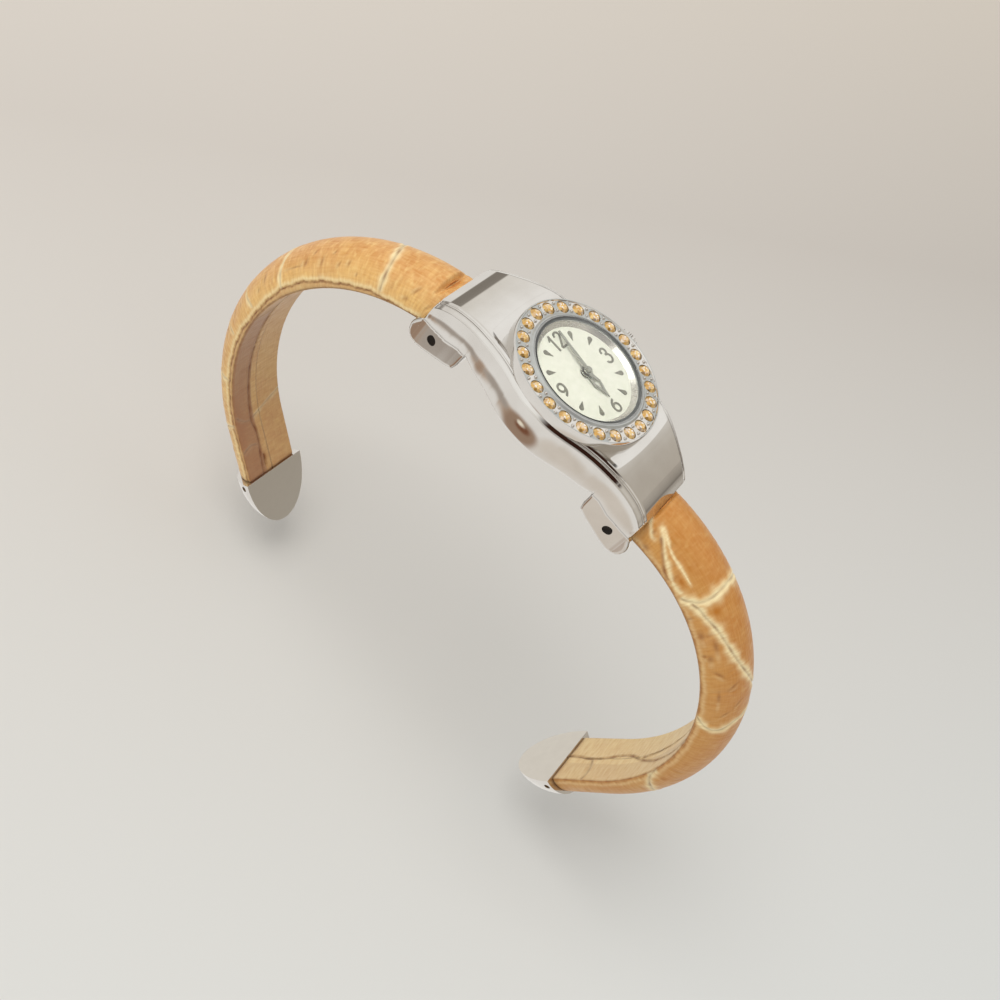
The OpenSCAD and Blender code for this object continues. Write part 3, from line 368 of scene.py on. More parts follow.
# The leather stays this far from the pin up to this far along, and runs clear of the lug over the blend
UNDER_LUG, LUG_REACH, LUG_BLEND = 4.05, 2.72, 0.5
SECTION_R = (ARM_WIDTH**2 / 4 + ARM_HEIGHT**2) / (2 * ARM_HEIGHT)
SECTION_C = ARM_RADIUS + ARM_HEIGHT - SECTION_R
CORNER = SECTION_R * math.atan2(ARM_WIDTH / 2, ARM_RADIUS - SECTION_C)
HALF_ROUND = CORNER + ARM_WIDTH / 2
ROUND_EDGE = 0.3
# The top starts so many degrees along the arc, and the underside so many more, up to so many mm along
TOP_START, UNDERSIDE_LATER, LATER_REACH = 1.6, 2.8, 6
# Places on the leather stand a step apart, and lengths along it are those at the mean radius
STEP = 0.16
MEAN_R = 25.7
ARC = math.radians(ARM_TURN)
ARC_LENGTH = ARC * MEAN_R
IN_CAP, CAP_TUCK = 1.2, 0.28
LEATHER_LENGTH = ARC_LENGTH + ARM_STRAIGHT + IN_CAP


def outline(p):
    """(radius from the arc's centre, place across) of the D outline, p mm from the top's middle along it."""
    turn = p / SECTION_R
    r = SECTION_C + SECTION_R * np.cos(turn)
    u = SECTION_R * np.sin(turn)
    flat = np.abs(p) > CORNER
    r = np.where(flat, ARM_RADIUS, r)
    u = np.where(flat, np.sign(p) * (ARM_WIDTH / 2 - (np.abs(p) - CORNER)), u)
    return r, u


def soft_outline(p):
    """The outline with its two edges rounded, and its outward direction."""
    offsets = np.linspace(-ROUND_EDGE, ROUND_EDGE, 9)
    r, u = (sum(q) / len(offsets) for q in zip(*(outline(p + o) for o in offsets)))
    ahead, behind = outline(p + ROUND_EDGE), outline(p - ROUND_EDGE)
    du, dr = ahead[1] - behind[1], ahead[0] - behind[0]
    size = np.hypot(du, dr)
    return r, u, du / size, -dr / size


def bump(d, width):
    return np.exp(-((d / width) ** 2))


def between(a, b, c, d, u):
    """The smooth curve through a, b, c and d, at the share u of the way from b to c."""
    return 0.5 * (2 * b + (c - a) * u + (2 * a - 5 * b + 4 * c - d) * u**2 + (3 * b - a - 3 * c + d) * u**3)


def smooth_line(points, fine=0.25):
    """Smooth curve through a few (mm along, mm across) points."""
    p = np.array(points, float)
    p = np.concatenate([[2 * p[0] - p[1]], p, [2 * p[-1] - p[-2]]])
    out = []
    for a, b, c, d in zip(p, p[1:], p[2:], p[3:]):
        u = np.linspace(0, 1, max(2, int(np.hypot(*(c - b)) / fine)), endpoint=False)[:, None]
        out.append(between(a, b, c, d, u))
    return np.concatenate(out + [p[-2:-1]])


# Places on the leather: mm along from the hinge, mm across from the top's middle, minus to the camera's side.
# Creases: (points, groove, lip, pale lip with painted highlight, dark painted shade in the groove)
CREASES_12 = [
    ([(11.4, 6.9), (11, 5), (10.3, 3), (9.6, 1.6), (8.9, -0.7), (8.6, -2.7), (8.6, -4.5),
      (8.7, -6.1)], 0.14, 0.42, 1, 0.85),
    ([(23, 6.9), (23.5, 4), (24, 1), (24.4, -1.9), (24.8, -3.5), (25.2, -6)], 0.12, 0.32, 1, 0.5),
    ([(31.3, 6.9), (32, 3.5), (32.6, 0.5), (32.9, -2), (32.5, -4.1),
      (31.9, -5.8)], 0.12, 0.3, 0.95, 0.5),
    ([(37.6, 6.9), (38.4, 2), (38.8, -2), (38.4, -5.6)], 0.1, 0.32, 0.6, 0.5),
    ([(46.6, 6.9), (47.3, 2), (46.9, -2), (46.2, -6.4)], 0.12, 0.45, 0.8, 0.5),
    ([(55.2, 6.9), (54.4, 2), (54.9, -2.2), (54, -6.6)], 0.12, 0.45, 0.8, 0.5),
]
CREASES_6 = [
    ([(0.6, -2.4), (2, -3.5), (2.6, -4.1), (3.4, -4.7), (4, -4.6)], 0.08, 0.24, 0.8, 0.2),
    ([(3.2, -3), (4.8, -4.1), (6, -4.9), (7.4, -5.4), (8.8, -5.9), (10.1, -6),
      (11.2, -5.7)], 0.04, 0.3, 0.8, 0),
    ([(3.6, -3), (5.2, -3.8), (6.6, -4.25), (8, -4.3), (9.3, -4.35), (10.6, -4.4)], 0.04, 0.18, 0.85, 0),
    ([(4, -3.9), (6, -5.2), (7.6, -6.1), (9, -6.4)], 0.14, 0.1, 0, 0.75),
    ([(11.4, -6.3), (12.1, -5.6), (12.9, -4.2), (12.95, -3), (12.8, -1.8), (12.7, 0.1), (12.9, 2.4),
      (13.4, 4.6), (14, 6.9)], 0.12, 0.62, 1, 0.55),
    ([(12.4, -5.4), (13.6, -4.8), (14.8, -4.5), (16.6, -3.8), (18.8, -3.15), (20.9, -2.4), (22.9, -1.4),
      (26.1, 0.8), (29, 3.6), (31, 6.9)], 0.13, 0.55, 1, 0.7),
    ([(29.7, -6.9), (31, -5.7), (31.5, -4.5), (31.3, -3.4), (30.5, -2.2), (30, -0.6), (29.8, 1.6),
      (30.2, 4), (31, 6.9)], 0.11, 0.5, 1, 0.6),
    ([(43.4, -6.9), (45.2, -6.4), (46.6, -5.4), (48, -3.4), (48.7, -1), (48.5, 2),
      (47.2, 6.9)], 0.16, 0.55, 0.9, 0.7),
    ([(39, 6.9), (39.6, 3.6), (38.8, 1.6)], 0.08, 0.3, 0.6, 0.5),
]
# Creases of the flat inner face, across from its middle
INNER_12 = [
    ([(41, -1.1), (46, -1.35), (51.8, -1.55), (54.2, -1.65), (56.2, -1.25), (58, -1.25), (59.6, -1.5),
      (63, -1.8)], 0.2, 0.2, 0.5, 0.9),
    ([(6, -0.8), (16, -0.5), (28, -0.9), (41, -1.1)], 0.2, 0.2, 0.5, 0.9),
    ([(54, -1.5), (52.8, 1.5), (52.2, 3.2), (51.6, 4.6)], 0.1, 0.3, 0.8, 0.5),
    ([(52.4, -4.5), (53.8, -3), (54.2, -1.7)], 0.1, 0.22, 0.7, 0.4),
    ([(58.4, -4.5), (57.8, -2.9), (58.2, -1.4)], 0.12, 0.3, 0.8, 0.5),
    ([(59.7, -0.9), (60.8, -1), (61.8, -1)], 0.25, 0.1, 0, 1),
    ([(33, -4.5), (32.2, -0.9)], 0.1, 0.3, 0.7, 0.4),
    ([(24, -0.7), (23.2, 4.5)], 0.1, 0.3, 0.7, 0.4),
]
INNER_6 = [
    ([(63, 0.3), (60.8, 0.2), (58.7, -0.2), (56.4, 0.1), (54.2, 0.6), (52, 0.5), (49.8, -0.5),
      (47.9, -1.3), (45, -2.2), (42, -2.7), (38, -3.5), (35, -4.5)], 0.2, 0.22, 0.7, 0.85),
    ([(49.5, -0.4), (36, 0.3), (20, -0.2), (6, 0.2)], 0.2, 0.2, 0.5, 0.85),
    ([(58.4, -0.2), (57.8, -2), (57.7, -3.4), (58, -4.6)], 0.14, 0.35, 0.9, 0.7),
    ([(31.6, 4.5), (32, 0.1)], 0.1, 0.3, 0.7, 0.4),
    ([(13.2, -0.1), (13.8, 4.5)], 0.1, 0.3, 0.7, 0.4),
]
# Short wrinkles: (along, across, half length, half width, lean)
WRINKLE_SPREAD = 1.35
WRINKLES_12 = [
    (20.4, -3.75, 0.5, 0.2, 0.3), (17.8, -3.85, 0.65, 0.17, 0.1), (15.1, -4.05, 0.4, 0.12, 0.3),
    (13.7, -3.8, 0.45, 0.14, 0.2), (22.1, -4, 0.12, 0.8, 0), (28.1, -3.6, 0.6, 0.15, 0.2),
    (29.6, -4.5, 0.35, 0.15, 0.3), (4.2, -4.1, 0.6, 0.14, 0.5), (5, -5.4, 0.3, 0.25, 0.2),
    (36.5, -3.4, 0.5, 0.13, 0.2), (39.7, -3.4, 0.6, 0.1, -0.5), (34.7, -3.7, 0.4, 0.12, 0.2),
    (16.2, -2.6, 0.3, 0.1, 0.3), (19.2, -2.5, 0.35, 0.1, 0.3), (12.3, -4.9, 0.25, 0.1, 0.2),
]
WRINKLES_6 = [
    (14.4, -6.3, 0.45, 0.14, 0), (17, -5.7, 0.4, 0.45, 0), (3.8, -6.1, 0.3, 0.4, 0),
    (3.2, -4.2, 0.3, 0.15, 0), (20.3, -5.3, 0.4, 0.35, 0), (22.7, -4.5, 0.55, 0.2, -0.7),
    (24.7, -2.9, 0.6, 0.16, 0.6), (27.5, -2, 0.5, 0.12, 0.8), (18.7, -4.4, 0.3, 0.6, 0),
    (19.9, -5.9, 0.25, 0.2, 0), (26, -4.6, 0.2, 0.6, 0), (28.8, -3.6, 0.5, 0.1, 0.7),
]
# Deep amber patches: (along, across, radius along, radius across, strength)
AMBER_12 = [
    (7, -1, 3, 1.6, 0.2), (19, 0.6, 4, 1.4, 0.25), (20, -3.4, 4, 0.5, 0.3), (29, -1, 2, 2, 0.2),
    (42, 0, 3, 3, 0.3), (50, 1, 3, 3, 0.3), (55, -7.6, 8, 0.9, 0.6), (60, -8.8, 2, 1, 0.5),
    (48, -8.6, 3, 0.9, 0.4),
]
AMBER_6 = [
    (11.5, -1.2, 0.8, 1.4, 0.8), (11.6, 1.4, 0.8, 1.6, 0.8), (12.2, 4, 0.8, 1.6, 0.7),
    (15.2, 0.6, 0.8, 2, 0.7), (14.6, -3.1, 0.9, 0.8, 1), (9.6, -5.1, 1.3, 0.5, 1),
    (7, -4.5, 1.6, 0.3, 0.8), (5.4, -3.2, 1.6, 0.4, 0.8), (8.6, -3.6, 1.8, 0.35, 0.8),
    (11, -3.4, 0.7, 1.4, 0.6), (44.2, -5, 0.9, 1, 0.9), (26.6, -3.8, 2, 0.8, 0.35),
    (18, -0.6, 3, 1.6, 0.35), (47, -6.2, 0.6, 0.5, 0.8), (52, -2, 2.5, 3, 0.5), (22, 2.6, 2, 1.6, 0.4),
]
# The fold near each edge of the leather: (along, distance from the top's middle)
FOLD_12 = [
    (0, 6.85), (6, 6.75), (10, 6.35), (15, 6.25), (21, 5.95), (25, 6), (28, 6.3), (33, 6.55), (37, 6.3),
    (64, 6.4),
]
FOLD_6 = [(0, 6.7), (64, 6.7)]
# Fine pinches where the leather gathers towards its edges: lowest and highest
PINCH_ACROSS, PINCH_TALL, PINCH_WIDE = (3.2, 5.8), (0.25, 0.8), (0.13, 0.26)
PINCH_STRENGTH, PINCH_LEAN = (0.05, 0.2), (-0.1, 0.5)


class Tones:
    """Relief in mm and colour shares over one arm's grid of places."""

    def __init__(self, along, across, inner):
        self.along, self.across, self.inner = along, across, inner
        self.dig, self.dark, self.pale, self.amber = (np.zeros_like(along) for _ in range(4))

    def add(self, rows, dig=0, dark=0, pale=0, amber=0):
        self.dig[rows] += dig
        self.dark[rows] = np.maximum(self.dark[rows], dark)
        self.pale[rows] = np.maximum(self.pale[rows], pale)
        self.amber[rows] = np.maximum(self.amber[rows], amber)

    def near(self, low, high):
        lengths = self.along[:, 0]
        return slice(np.searchsorted(lengths, low), np.searchsorted(lengths, high))

    def crease(self, points, groove, lip, pale, dark, inside):
        line = smooth_line(points)
        rows = self.near(line[:, 0].min() - 3, line[:, 0].max() + 3)
        x, y = self.along[rows], (self.inner if inside else self.across)[rows]
        d, at = np.full(x.shape, 99.0), np.zeros(x.shape)
        run = 0
        for a, b in zip(line, line[1:]):
            step = b - a
            t = np.clip(((x - a[0]) * step[0] + (y - a[1]) * step[1]) / step.dot(step), 0, 1)
            here = np.hypot(x - a[0] - t * step[0], y - a[1] - t * step[1])
            length = np.hypot(*step)
            at = np.where(here < d, run + t * length, at)
            d = np.minimum(d, here)
            run += length
        flat = np.abs(self.across[rows]) > CORNER
        there = np.where(flat, 1, 0) if inside else np.where(flat, 0, 1)
        there = there * np.clip(np.minimum(at, run - at) / 0.5 + 0.25, 0, 1)
        # lips and darkness come and go along the crease
        wide = lip * (1 + 0.22 * np.sin(1.7 * at) + 0.14 * np.sin(4.3 * at + 1))
        firm = 0.7 + 0.3 * np.sin(2.6 * at + 2 * groove) * np.sin(0.9 * at + 1)
        cut = -0.7 * groove * bump(d, 0.17) + 0.4 * groove * bump(d - 0.5 * wide - 0.12, 0.45 * wide)
        # painted shade darkens the groove; the pale lips are the creased leather's paler colour, with a
        # painted highlight
        strong = dark * firm * bump(d, 0.05 + groove)
        self.add(rows, cut * there, strong * there, pale * bump(d, wide) * there)

    def wrinkle(self, s, p, tall, wide, lean, strength=0.5):
        wide = WRINKLE_SPREAD * wide
        rows = self.near(s - 3, s + 3)
        y = self.across[rows] - p
        x = self.along[rows] - s + lean * y
        spot = np.exp(-((x / wide) ** 2) - (y / tall) ** 2)
        beside = np.exp(-(((x - 1.6 * wide) / wide) ** 2) - (y / tall) ** 2)
        # painted shade in the wrinkle's groove, and a painted highlight on its lit lip beside it
        self.add(rows, 0.06 * (0.6 * beside - spot), strength * spot, 0.45 * strength * beside)

    def patch(self, s, p, wide, tall, strength):
        rows = self.near(s - 3 * wide, s + 3 * wide)
        spread = ((self.along[rows] - s) / wide) ** 2 + ((self.across[rows] - p) / tall) ** 2
        self.add(rows, amber=strength * np.exp(-spread))


def arm_tones(S, P, u, creases, inner, wrinkles, patches, fold, fold_strength, pinches, warmth,
              inside_dusk, inside_pale):
    """Relief and colour shares of one arm's leather, among them painted shade and painted highlights, and how
    much dusky painted shade each place has.
    """
    tones = Tones(S, P, u)
    flat_face = np.abs(P) > CORNER
    tones.amber += np.where(flat_face, 0, warmth)
    for crease in creases:
        tones.crease(*crease, False)
    for crease in inner:
        tones.crease(*crease, True)
    for wrinkle in wrinkles:
        tones.wrinkle(*wrinkle)
    for patch in patches:
        tones.patch(*patch)
    random = np.random.RandomState(pinches)
    for i in range(pinches):
        s = random.uniform(1, LEATHER_LENGTH - 3)
        p = random.uniform(*PINCH_ACROSS) * random.choice((-1, 1))
        tall = random.uniform(*PINCH_TALL)
        wide = random.uniform(*PINCH_WIDE)
        strength = random.uniform(*PINCH_STRENGTH)
        tones.wrinkle(s, p, tall, wide, random.uniform(*PINCH_LEAN), strength)
    # the fold near the edges, and the turned edge below it: painted shade in the fold, and a painted
    # highlight in a band just inside it
    wave = 0.06 * np.sin(1.7 * S) + 0.04 * np.sin(4.1 * S + 1) + 0.03 * np.sin(9.3 * S)
    d = np.abs(P) - np.interp(S, *np.array(fold, float).T) - wave
    strong = fold_strength
    below = np.clip(d / 0.1, 0, 1) * (np.abs(P) < CORNER + 0.2)
    firm = 0.75 + 0.25 * np.sin(3.1 * S) * np.sin(1.3 * S + 1)
    every = slice(None)
    tones.add(every, -0.14 * strong * bump(d, 0.13) - 0.05 * strong * below, strong * firm * bump(d, 0.14),
              0.15 * strong * below + 0.55 * strong * bump(d + 0.4, 0.28))
    edge = np.abs(P) - CORNER
    tones.add(every, -0.06 * bump(edge, 0.12), 0.8 * firm * bump(edge, 0.18))
    # painted shade: dusky on the turned edge below the fold, and towards the far side, which turns away from
    # the light
    dusk = 0.3 * strong * below + 0.35 * np.clip((P - 3.5) / 2.5, 0, 1)
    # the flat inner face: painted light where asked, and painted shade, darkest on its near half
    tones.add(flat_face, pale=inside_pale)
    near_half = np.clip((-1 - u) / 0.2, 0, 1) * np.clip((S - 30) / 4, 0, 1)
    dusk = np.where(flat_face, inside_dusk * (0.55 + 0.45 * near_half), dusk)
    return tones, dusk


def leather_arm(name, body, node, angle, side, **look):
    """One arm's leather; side is 1 for the 12 side and -1 for the 6 side."""
    along = np.arange(0, LEATHER_LENGTH, STEP)
    across = np.linspace(-HALF_ROUND, HALF_ROUND, int(2 * HALF_ROUND / STEP))
    S, P = np.meshgrid(along, across, indexing="ij")
    r, u, nr, nu = soft_outline(P)
    tones, dusk = arm_tones(S, P, u, **look)
    # into the cap
    extra = np.maximum(S - ARC_LENGTH, 0)
    tones.dig -= CAP_TUCK * np.clip((extra - ARM_STRAIGHT + 0.15) / 0.3, 0, 1)
    tones.dark = np.maximum(tones.dark, 0.6 * bump(extra - ARM_STRAIGHT, 0.35))
    # the top starts under the lug, the underside beyond the knuckle
    degrees = np.degrees(np.minimum(S, ARC_LENGTH) / MEAN_R)
    low = np.clip((ARM_RADIUS + 3 - r) / 2, 0, 1)
    late = UNDERSIDE_LATER * low * low * (3 - 2 * low) * np.clip(1 - S / LATER_REACH, 0, 1) ** 2
    turn = np.radians(TOP_START + (ARM_TURN - TOP_START) * degrees / ARM_TURN + late)
    r, u = r + nr * tones.dig, u + nu * tones.dig
    # arm frame: y along the cuff from the hinge, z away from the wrist
    y = r * np.sin(turn) + extra * math.cos(ARC)
    z = r * np.cos(turn) - ARM_RADIUS - ARM_INSET - extra * math.sin(ARC)
    # kept within the lug's channel until it is clear of the lug
    room = np.sqrt(np.maximum(UNDER_LUG ** 2 - y ** 2, 0))
    clear = np.clip((y - LUG_REACH) / LUG_BLEND, 0, 1)
    clear = clear * clear * (3 - 2 * clear)
    z = np.where(z > room, room + (z - room) * clear, z)
    a = math.radians(angle)
    Y = PIN_Y + y * math.cos(a) - z * math.sin(a)
    Z = STONE_PLANE - PIN_DROP + y * math.sin(a) + z * math.cos(a)
    co = np.stack([u, side * Y, Z], -1) * MM
    n, m = S.shape
    index = np.arange(n * m).reshape(n, m)
    turned = np.roll(index, -1, 1)
    quads = np.stack([index[:-1], turned[:-1], turned[1:], index[1:]], -1).reshape(-1, 4)
    ends = [index[0].tolist(), index[-1].tolist()[::-1]]
    if side > 0:
        quads = quads[:, ::-1]
    else:
        ends = [e[::-1] for e in ends]
    o = mesh_object(name, co.reshape(-1, 3).tolist(), quads.tolist() + ends, leather)
    mesh = o.data
    mesh.polygons.foreach_set("use_smooth", [True] * len(mesh.polygons))
    shade = mesh.attributes.new("tone", "FLOAT_COLOR", "POINT")
    zone = np.clip(np.abs(P) / CORNER, 0, 1)
    flat = np.stack([tones.dark, tones.pale, tones.amber, zone], -1)
    shade.data.foreach_set("color", np.clip(flat, 0, 1).astype(np.float32).ravel())
    point_numbers(mesh, "dusk", dusk)
    uv = mesh.uv_layers.new(name="along")
    where = np.stack([S, P], -1).reshape(-1, 2) / 10
    loops = np.empty(len(mesh.loops), np.int32)
    mesh.loops.foreach_get("vertex_index", loops)
    uv.data.foreach_set("uv", where[loops].astype(np.float32).ravel())
    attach(o, body)
    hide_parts(node)


leather_arm("leather_cover_12", "arm_12", "leather_12", UPPER_ANGLE, 1, creases=CREASES_12, inner=INNER_12,
            wrinkles=WRINKLES_12, patches=AMBER_12, fold=FOLD_12, fold_strength=1, pinches=70, warmth=0.05,
            inside_dusk=0.8, inside_pale=0)
leather_arm("leather_cover_6", "arm_6", "leather_6", LOWER_ANGLE, -1, creases=CREASES_6, inner=INNER_6,
            wrinkles=WRINKLES_6, patches=AMBER_6, fold=FOLD_6, fold_strength=0.5, pinches=40, warmth=0.6,
            inside_dusk=0.36, inside_pale=0.55)

# Polished pieces: angles in degrees; the ring round the crystal and the caps' inner ends are satin
WELD = 0.0005 * MM
FLAT_WITHIN, SHARP_CORNER, SHELL_CORNER = 0.3, 30, 48
RING_SATIN_R, CAP_END_COSINE = 7.4, 0.995


def smooth_faces(bm, corner):
    """Smooth shading, with sharp edges where faces meet at more than corner degrees."""
    for f in bm.faces:
        f.smooth = True
    for e in bm.edges:
        e.smooth = not (len(e.link_faces) == 2 and e.calc_face_angle(0) > math.radians(corner))


def polished(node, body, edge, material, satin=None, satin_where=None):
    """A welded copy of a solid with its edges rounded and smooth faces, satin where asked."""
    mesh = nodes[node].data.copy()
    mesh.name = node + "_polished"
    o = bpy.data.objects.new(node + "_polished", mesh)
    bpy.context.scene.collection.objects.link(o)
    mesh.materials.clear()
    mesh.materials.append(material)
    bm = bmesh.new()
    bm.from_mesh(mesh)
    bmesh.ops.remove_doubles(bm, verts=bm.verts, dist=WELD)
    bmesh.ops.dissolve_limit(bm, angle_limit=math.radians(FLAT_WITHIN), verts=bm.verts, edges=bm.edges)
    for f in bm.faces:
        f.material_index = int(satin is not None and satin_where(f))
    smooth_faces(bm, SHARP_CORNER)
    bm.to_mesh(mesh)
    bm.free()
    if satin:
        mesh.materials.append(satin)
    m = o.modifiers.new("edge", "BEVEL")
    m.width = edge * MM
    m.segments = 2
    m.limit_method = "ANGLE"
    m.angle_limit = math.radians(SHARP_CORNER)
    m.harden_normals = True
    m.use_clamp_overlap = True
    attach(o, body)
    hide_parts(node)


def round_the_crystal(face):
    place = face.calc_center_median()
    return math.hypot(place.x, place.y) < RING_SATIN_R * MM


polished("bezel", "case", 0.05, chrome, ring_satin, round_the_crystal)
polished("case_back", "case", 0.08, chrome)
polished("crown", "crown_body", 0.05, chrome)
CAPS = [("end_cap_12", "arm_12", UPPER_ANGLE, 1), ("end_cap_6", "arm_6", LOWER_ANGLE, -1)]
for node, body, angle, side in CAPS:
    lean = math.radians(ARM_TURN - angle)
    inward = Vector((0, -side * math.sin(lean), -math.cos(lean)))
    polished(node, body, 0.1, chrome, cap_satin, lambda f: f.normal.dot(inward) > CAP_END_COSINE)

# Stones: brilliant cut, each turned its own way, with painted light on the facets: a painted sparkle of the
# facets below seen in the table
STONE_RING, STONE_R, STONE_COUNT, SETTING_GAP = 8.16, 0.78, 24, 0.01
TABLE_R, STAR_R, TABLE_Z, STAR_Z, GIRDLE_Z, CULET_Z = 0.44, 0.6, 0.3, 0.19, -0.1, -0.6
TABLE_INNER_SHARE, PAINTED_SPARKLE = 0.45, 0.22


def stone_mesh():
    random = np.random.RandomState(24)
    vertices, faces, shade = [], [], []

    def ring(r, z, count, first, turn, at):
        start = len(vertices)
        for i in range(count):
            a = turn + (i + first) * 2 * math.pi / count
            vertices.append((at[0] + r * math.cos(a), at[1] + r * math.sin(a), STONE_PLANE + z))
        return start

    def face(points, value):
        """A facet with its painted light, from 0 for dark to 1 for bright."""
        faces.append(points)
        shade.append(float(np.clip(value + random.uniform(-PAINTED_SPARKLE, PAINTED_SPARKLE), 0, 1)))

    for k in range(STONE_COUNT):
        a = math.radians(90 + k * 360 / STONE_COUNT)
        at = STONE_RING * math.cos(a), STONE_RING * math.sin(a)
        turn = random.uniform(0, math.pi / 4)
        inner = ring(TABLE_R * TABLE_INNER_SHARE, TABLE_Z, 8, 0.5, turn, at)
        table = ring(TABLE_R, TABLE_Z, 8, 0, turn, at)
        star = ring(STAR_R, STAR_Z, 8, 0.5, turn, at)
        girdle = ring(STONE_R - SETTING_GAP, 0, 16, 0, turn, at)
        foot = ring(STONE_R - SETTING_GAP, GIRDLE_Z, 16, 0, turn, at)
        tip = ring(0, CULET_Z, 1, 0, turn, at)
        face(tuple(inner + i for i in range(8)), 0.55)
        for i in range(8):
            j, h = (i + 1) % 8, (i - 1) % 8
            face((table + i, table + j, inner + i), 0.75 if i % 2 else 0.5)
            face((table + i, inner + i, inner + h), 0.35 if i % 3 else 0.9)
            face((table + i, star + i, table + j), 0.62)
            face((table + i, star + h, girdle + 2 * i, star + i), 0.6)
            face((star + i, girdle + 2 * i, girdle + 2 * i + 1), 0.22)
            face((star + i, girdle + 2 * i + 1, girdle + (2 * i + 2) % 16), 0.22)
        for i in range(16):
            j = (i + 1) % 16
            face((girdle + i, foot + i, foot + j, girdle + j), 0.1)
            face((foot + i, tip, foot + j), 0.4)
    o = mesh_object("stones", (np.array(vertices) * MM).tolist(), faces, stone)
    o.data.attributes.new("facet", "FLOAT", "FACE").data.foreach_set("value", np.array(shade, np.float32))
    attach(o, "case")
    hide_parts("bezel_stones")


stone_mesh()

# Case: a smooth shell over the solid case, with a rounded wall, a lip and bead round the top and a dish.
# Places along are shares of half the case's length; widths, top drops and feet are shares too
CASE_HALF, CASE_SIDE = 16.2, 9.9
RIM_DROP, LUG_DROP, WALL_FOOT, EAR_FOOT, BEAD_RISE = 1.3, 4.1, -5.5, -10.9, 0.54
PLAN = [
    (0, 1), (0.12, 0.985), (0.24, 0.928), (0.345, 0.862), (0.44, 0.815), (0.525, 0.787), (0.6, 0.757),
    (0.68, 0.717), (0.77, 0.672), (0.865, 0.632), (0.955, 0.605), (1, 0.6),
]
TOP = [
    (0, 0), (0.26, 0.02), (0.525, 0.075), (0.6, 0.125), (0.68, 0.21), (0.77, 0.345), (0.865, 0.52),
    (0.94, 0.71), (1, 0.92),
]
FOOT = [
    (0, 0.02), (0.3, 0.02), (0.5, 0), (0.58, -0.04), (0.605, -0.07), (0.614, 0.1), (0.618, 0.35),
    (0.63, 0.5), (0.7, 0.65), (0.79, 0.8), (0.877, 0.93), (0.95, 1), (1, 0.98), (1.03, 0.92),
    (1.05, 0.82), (1.06, 0.68),
]
EAR_TOP = [(1, 0.3), (1.006, 0.31), (1.025, 0.385), (1.045, 0.5), (1.056, 0.59), (1.06, 0.68)]
EAR_TIP, EAR_ROUND_FROM = 17.16, 1.025
# Where the ear begins below the wall: (mm along, mm below the stones' plane)
EAR_LINE = [(0, -99), (9.6, -99), (9.8, -5.13), (11, -5.4), (12.7, -6.4), (15, -7), (16.2, -7.1)]
FOOT_ROUND, END_ROUND = 0.42, 0.3
WALL_BOW, EAR_STEP = 0.2, 0.13
# How dark the painted shade along the foot's edge and the ear line is
EDGE_SHADE_STRENGTH = 0.8
# The lip and bead from the wall in: (mm inward, mm up)
LIP = [
    (0.02, -0.05), (0.06, 0.0), (0.14, 0.03), (0.3, 0.16), (0.46, 0.29), (0.53, 0.31), (0.58, 0.26),
    (0.63, 0.27), (0.68, 0.36), (0.74, 0.42), (0.8, 0.435), (0.87, 0.42), (0.92, 0.36), (0.98, 0.36),
    (1.08, 0.47), (1.2, 0.54),
]
DISH_DEPTH, DISH_REACH, DISH_AT, DISH_BEND = 0.35, 0.8, 10.2, 0.012


def segment_distance(x, y, a, b):
    d = (b[0] - a[0], b[1] - a[1])
    t = np.clip(((x - a[0]) * d[0] + (y - a[1]) * d[1]) / (d[0] ** 2 + d[1] ** 2), 0, 1)
    return np.hypot(x - a[0] - t * d[0], y - a[1] - t * d[1])


def through(table, k):
    """Smooth curve through a table of pairs, read at the shares k; level at its start where that is 0."""
    x, y = np.array(table, float).T
    before = y[1] if x[0] == 0 else 2 * y[0] - y[1]
    after = 2 * y[-1] - y[-2]
    i = np.clip(np.searchsorted(x, k, side="right") - 1, 0, len(x) - 2)
    full = np.concatenate([[before], y, [after]])
    u = (k - x[i]) / (x[i + 1] - x[i])
    return between(full[i], full[i + 1], full[i + 2], full[i + 3], u)


def straight(table, x):
    return np.interp(x, *np.array(table, float).T)


def ear_height(table, k):
    """Height at the shares k of half the case's length, from a table of shares of the ear's depth."""
    return WALL_FOOT + (EAR_FOOT - WALL_FOOT) * straight(table, k)


def steps(*stops):
    """Places from stop to stop: (end, step) pairs after the first place."""
    out = [stops[0]]
    for end, step in stops[1:]:
        n = max(1, round((end - out[-1]) / step))
        out += list(np.linspace(out[-1], end, n + 1)[1:])
    return np.array(out)


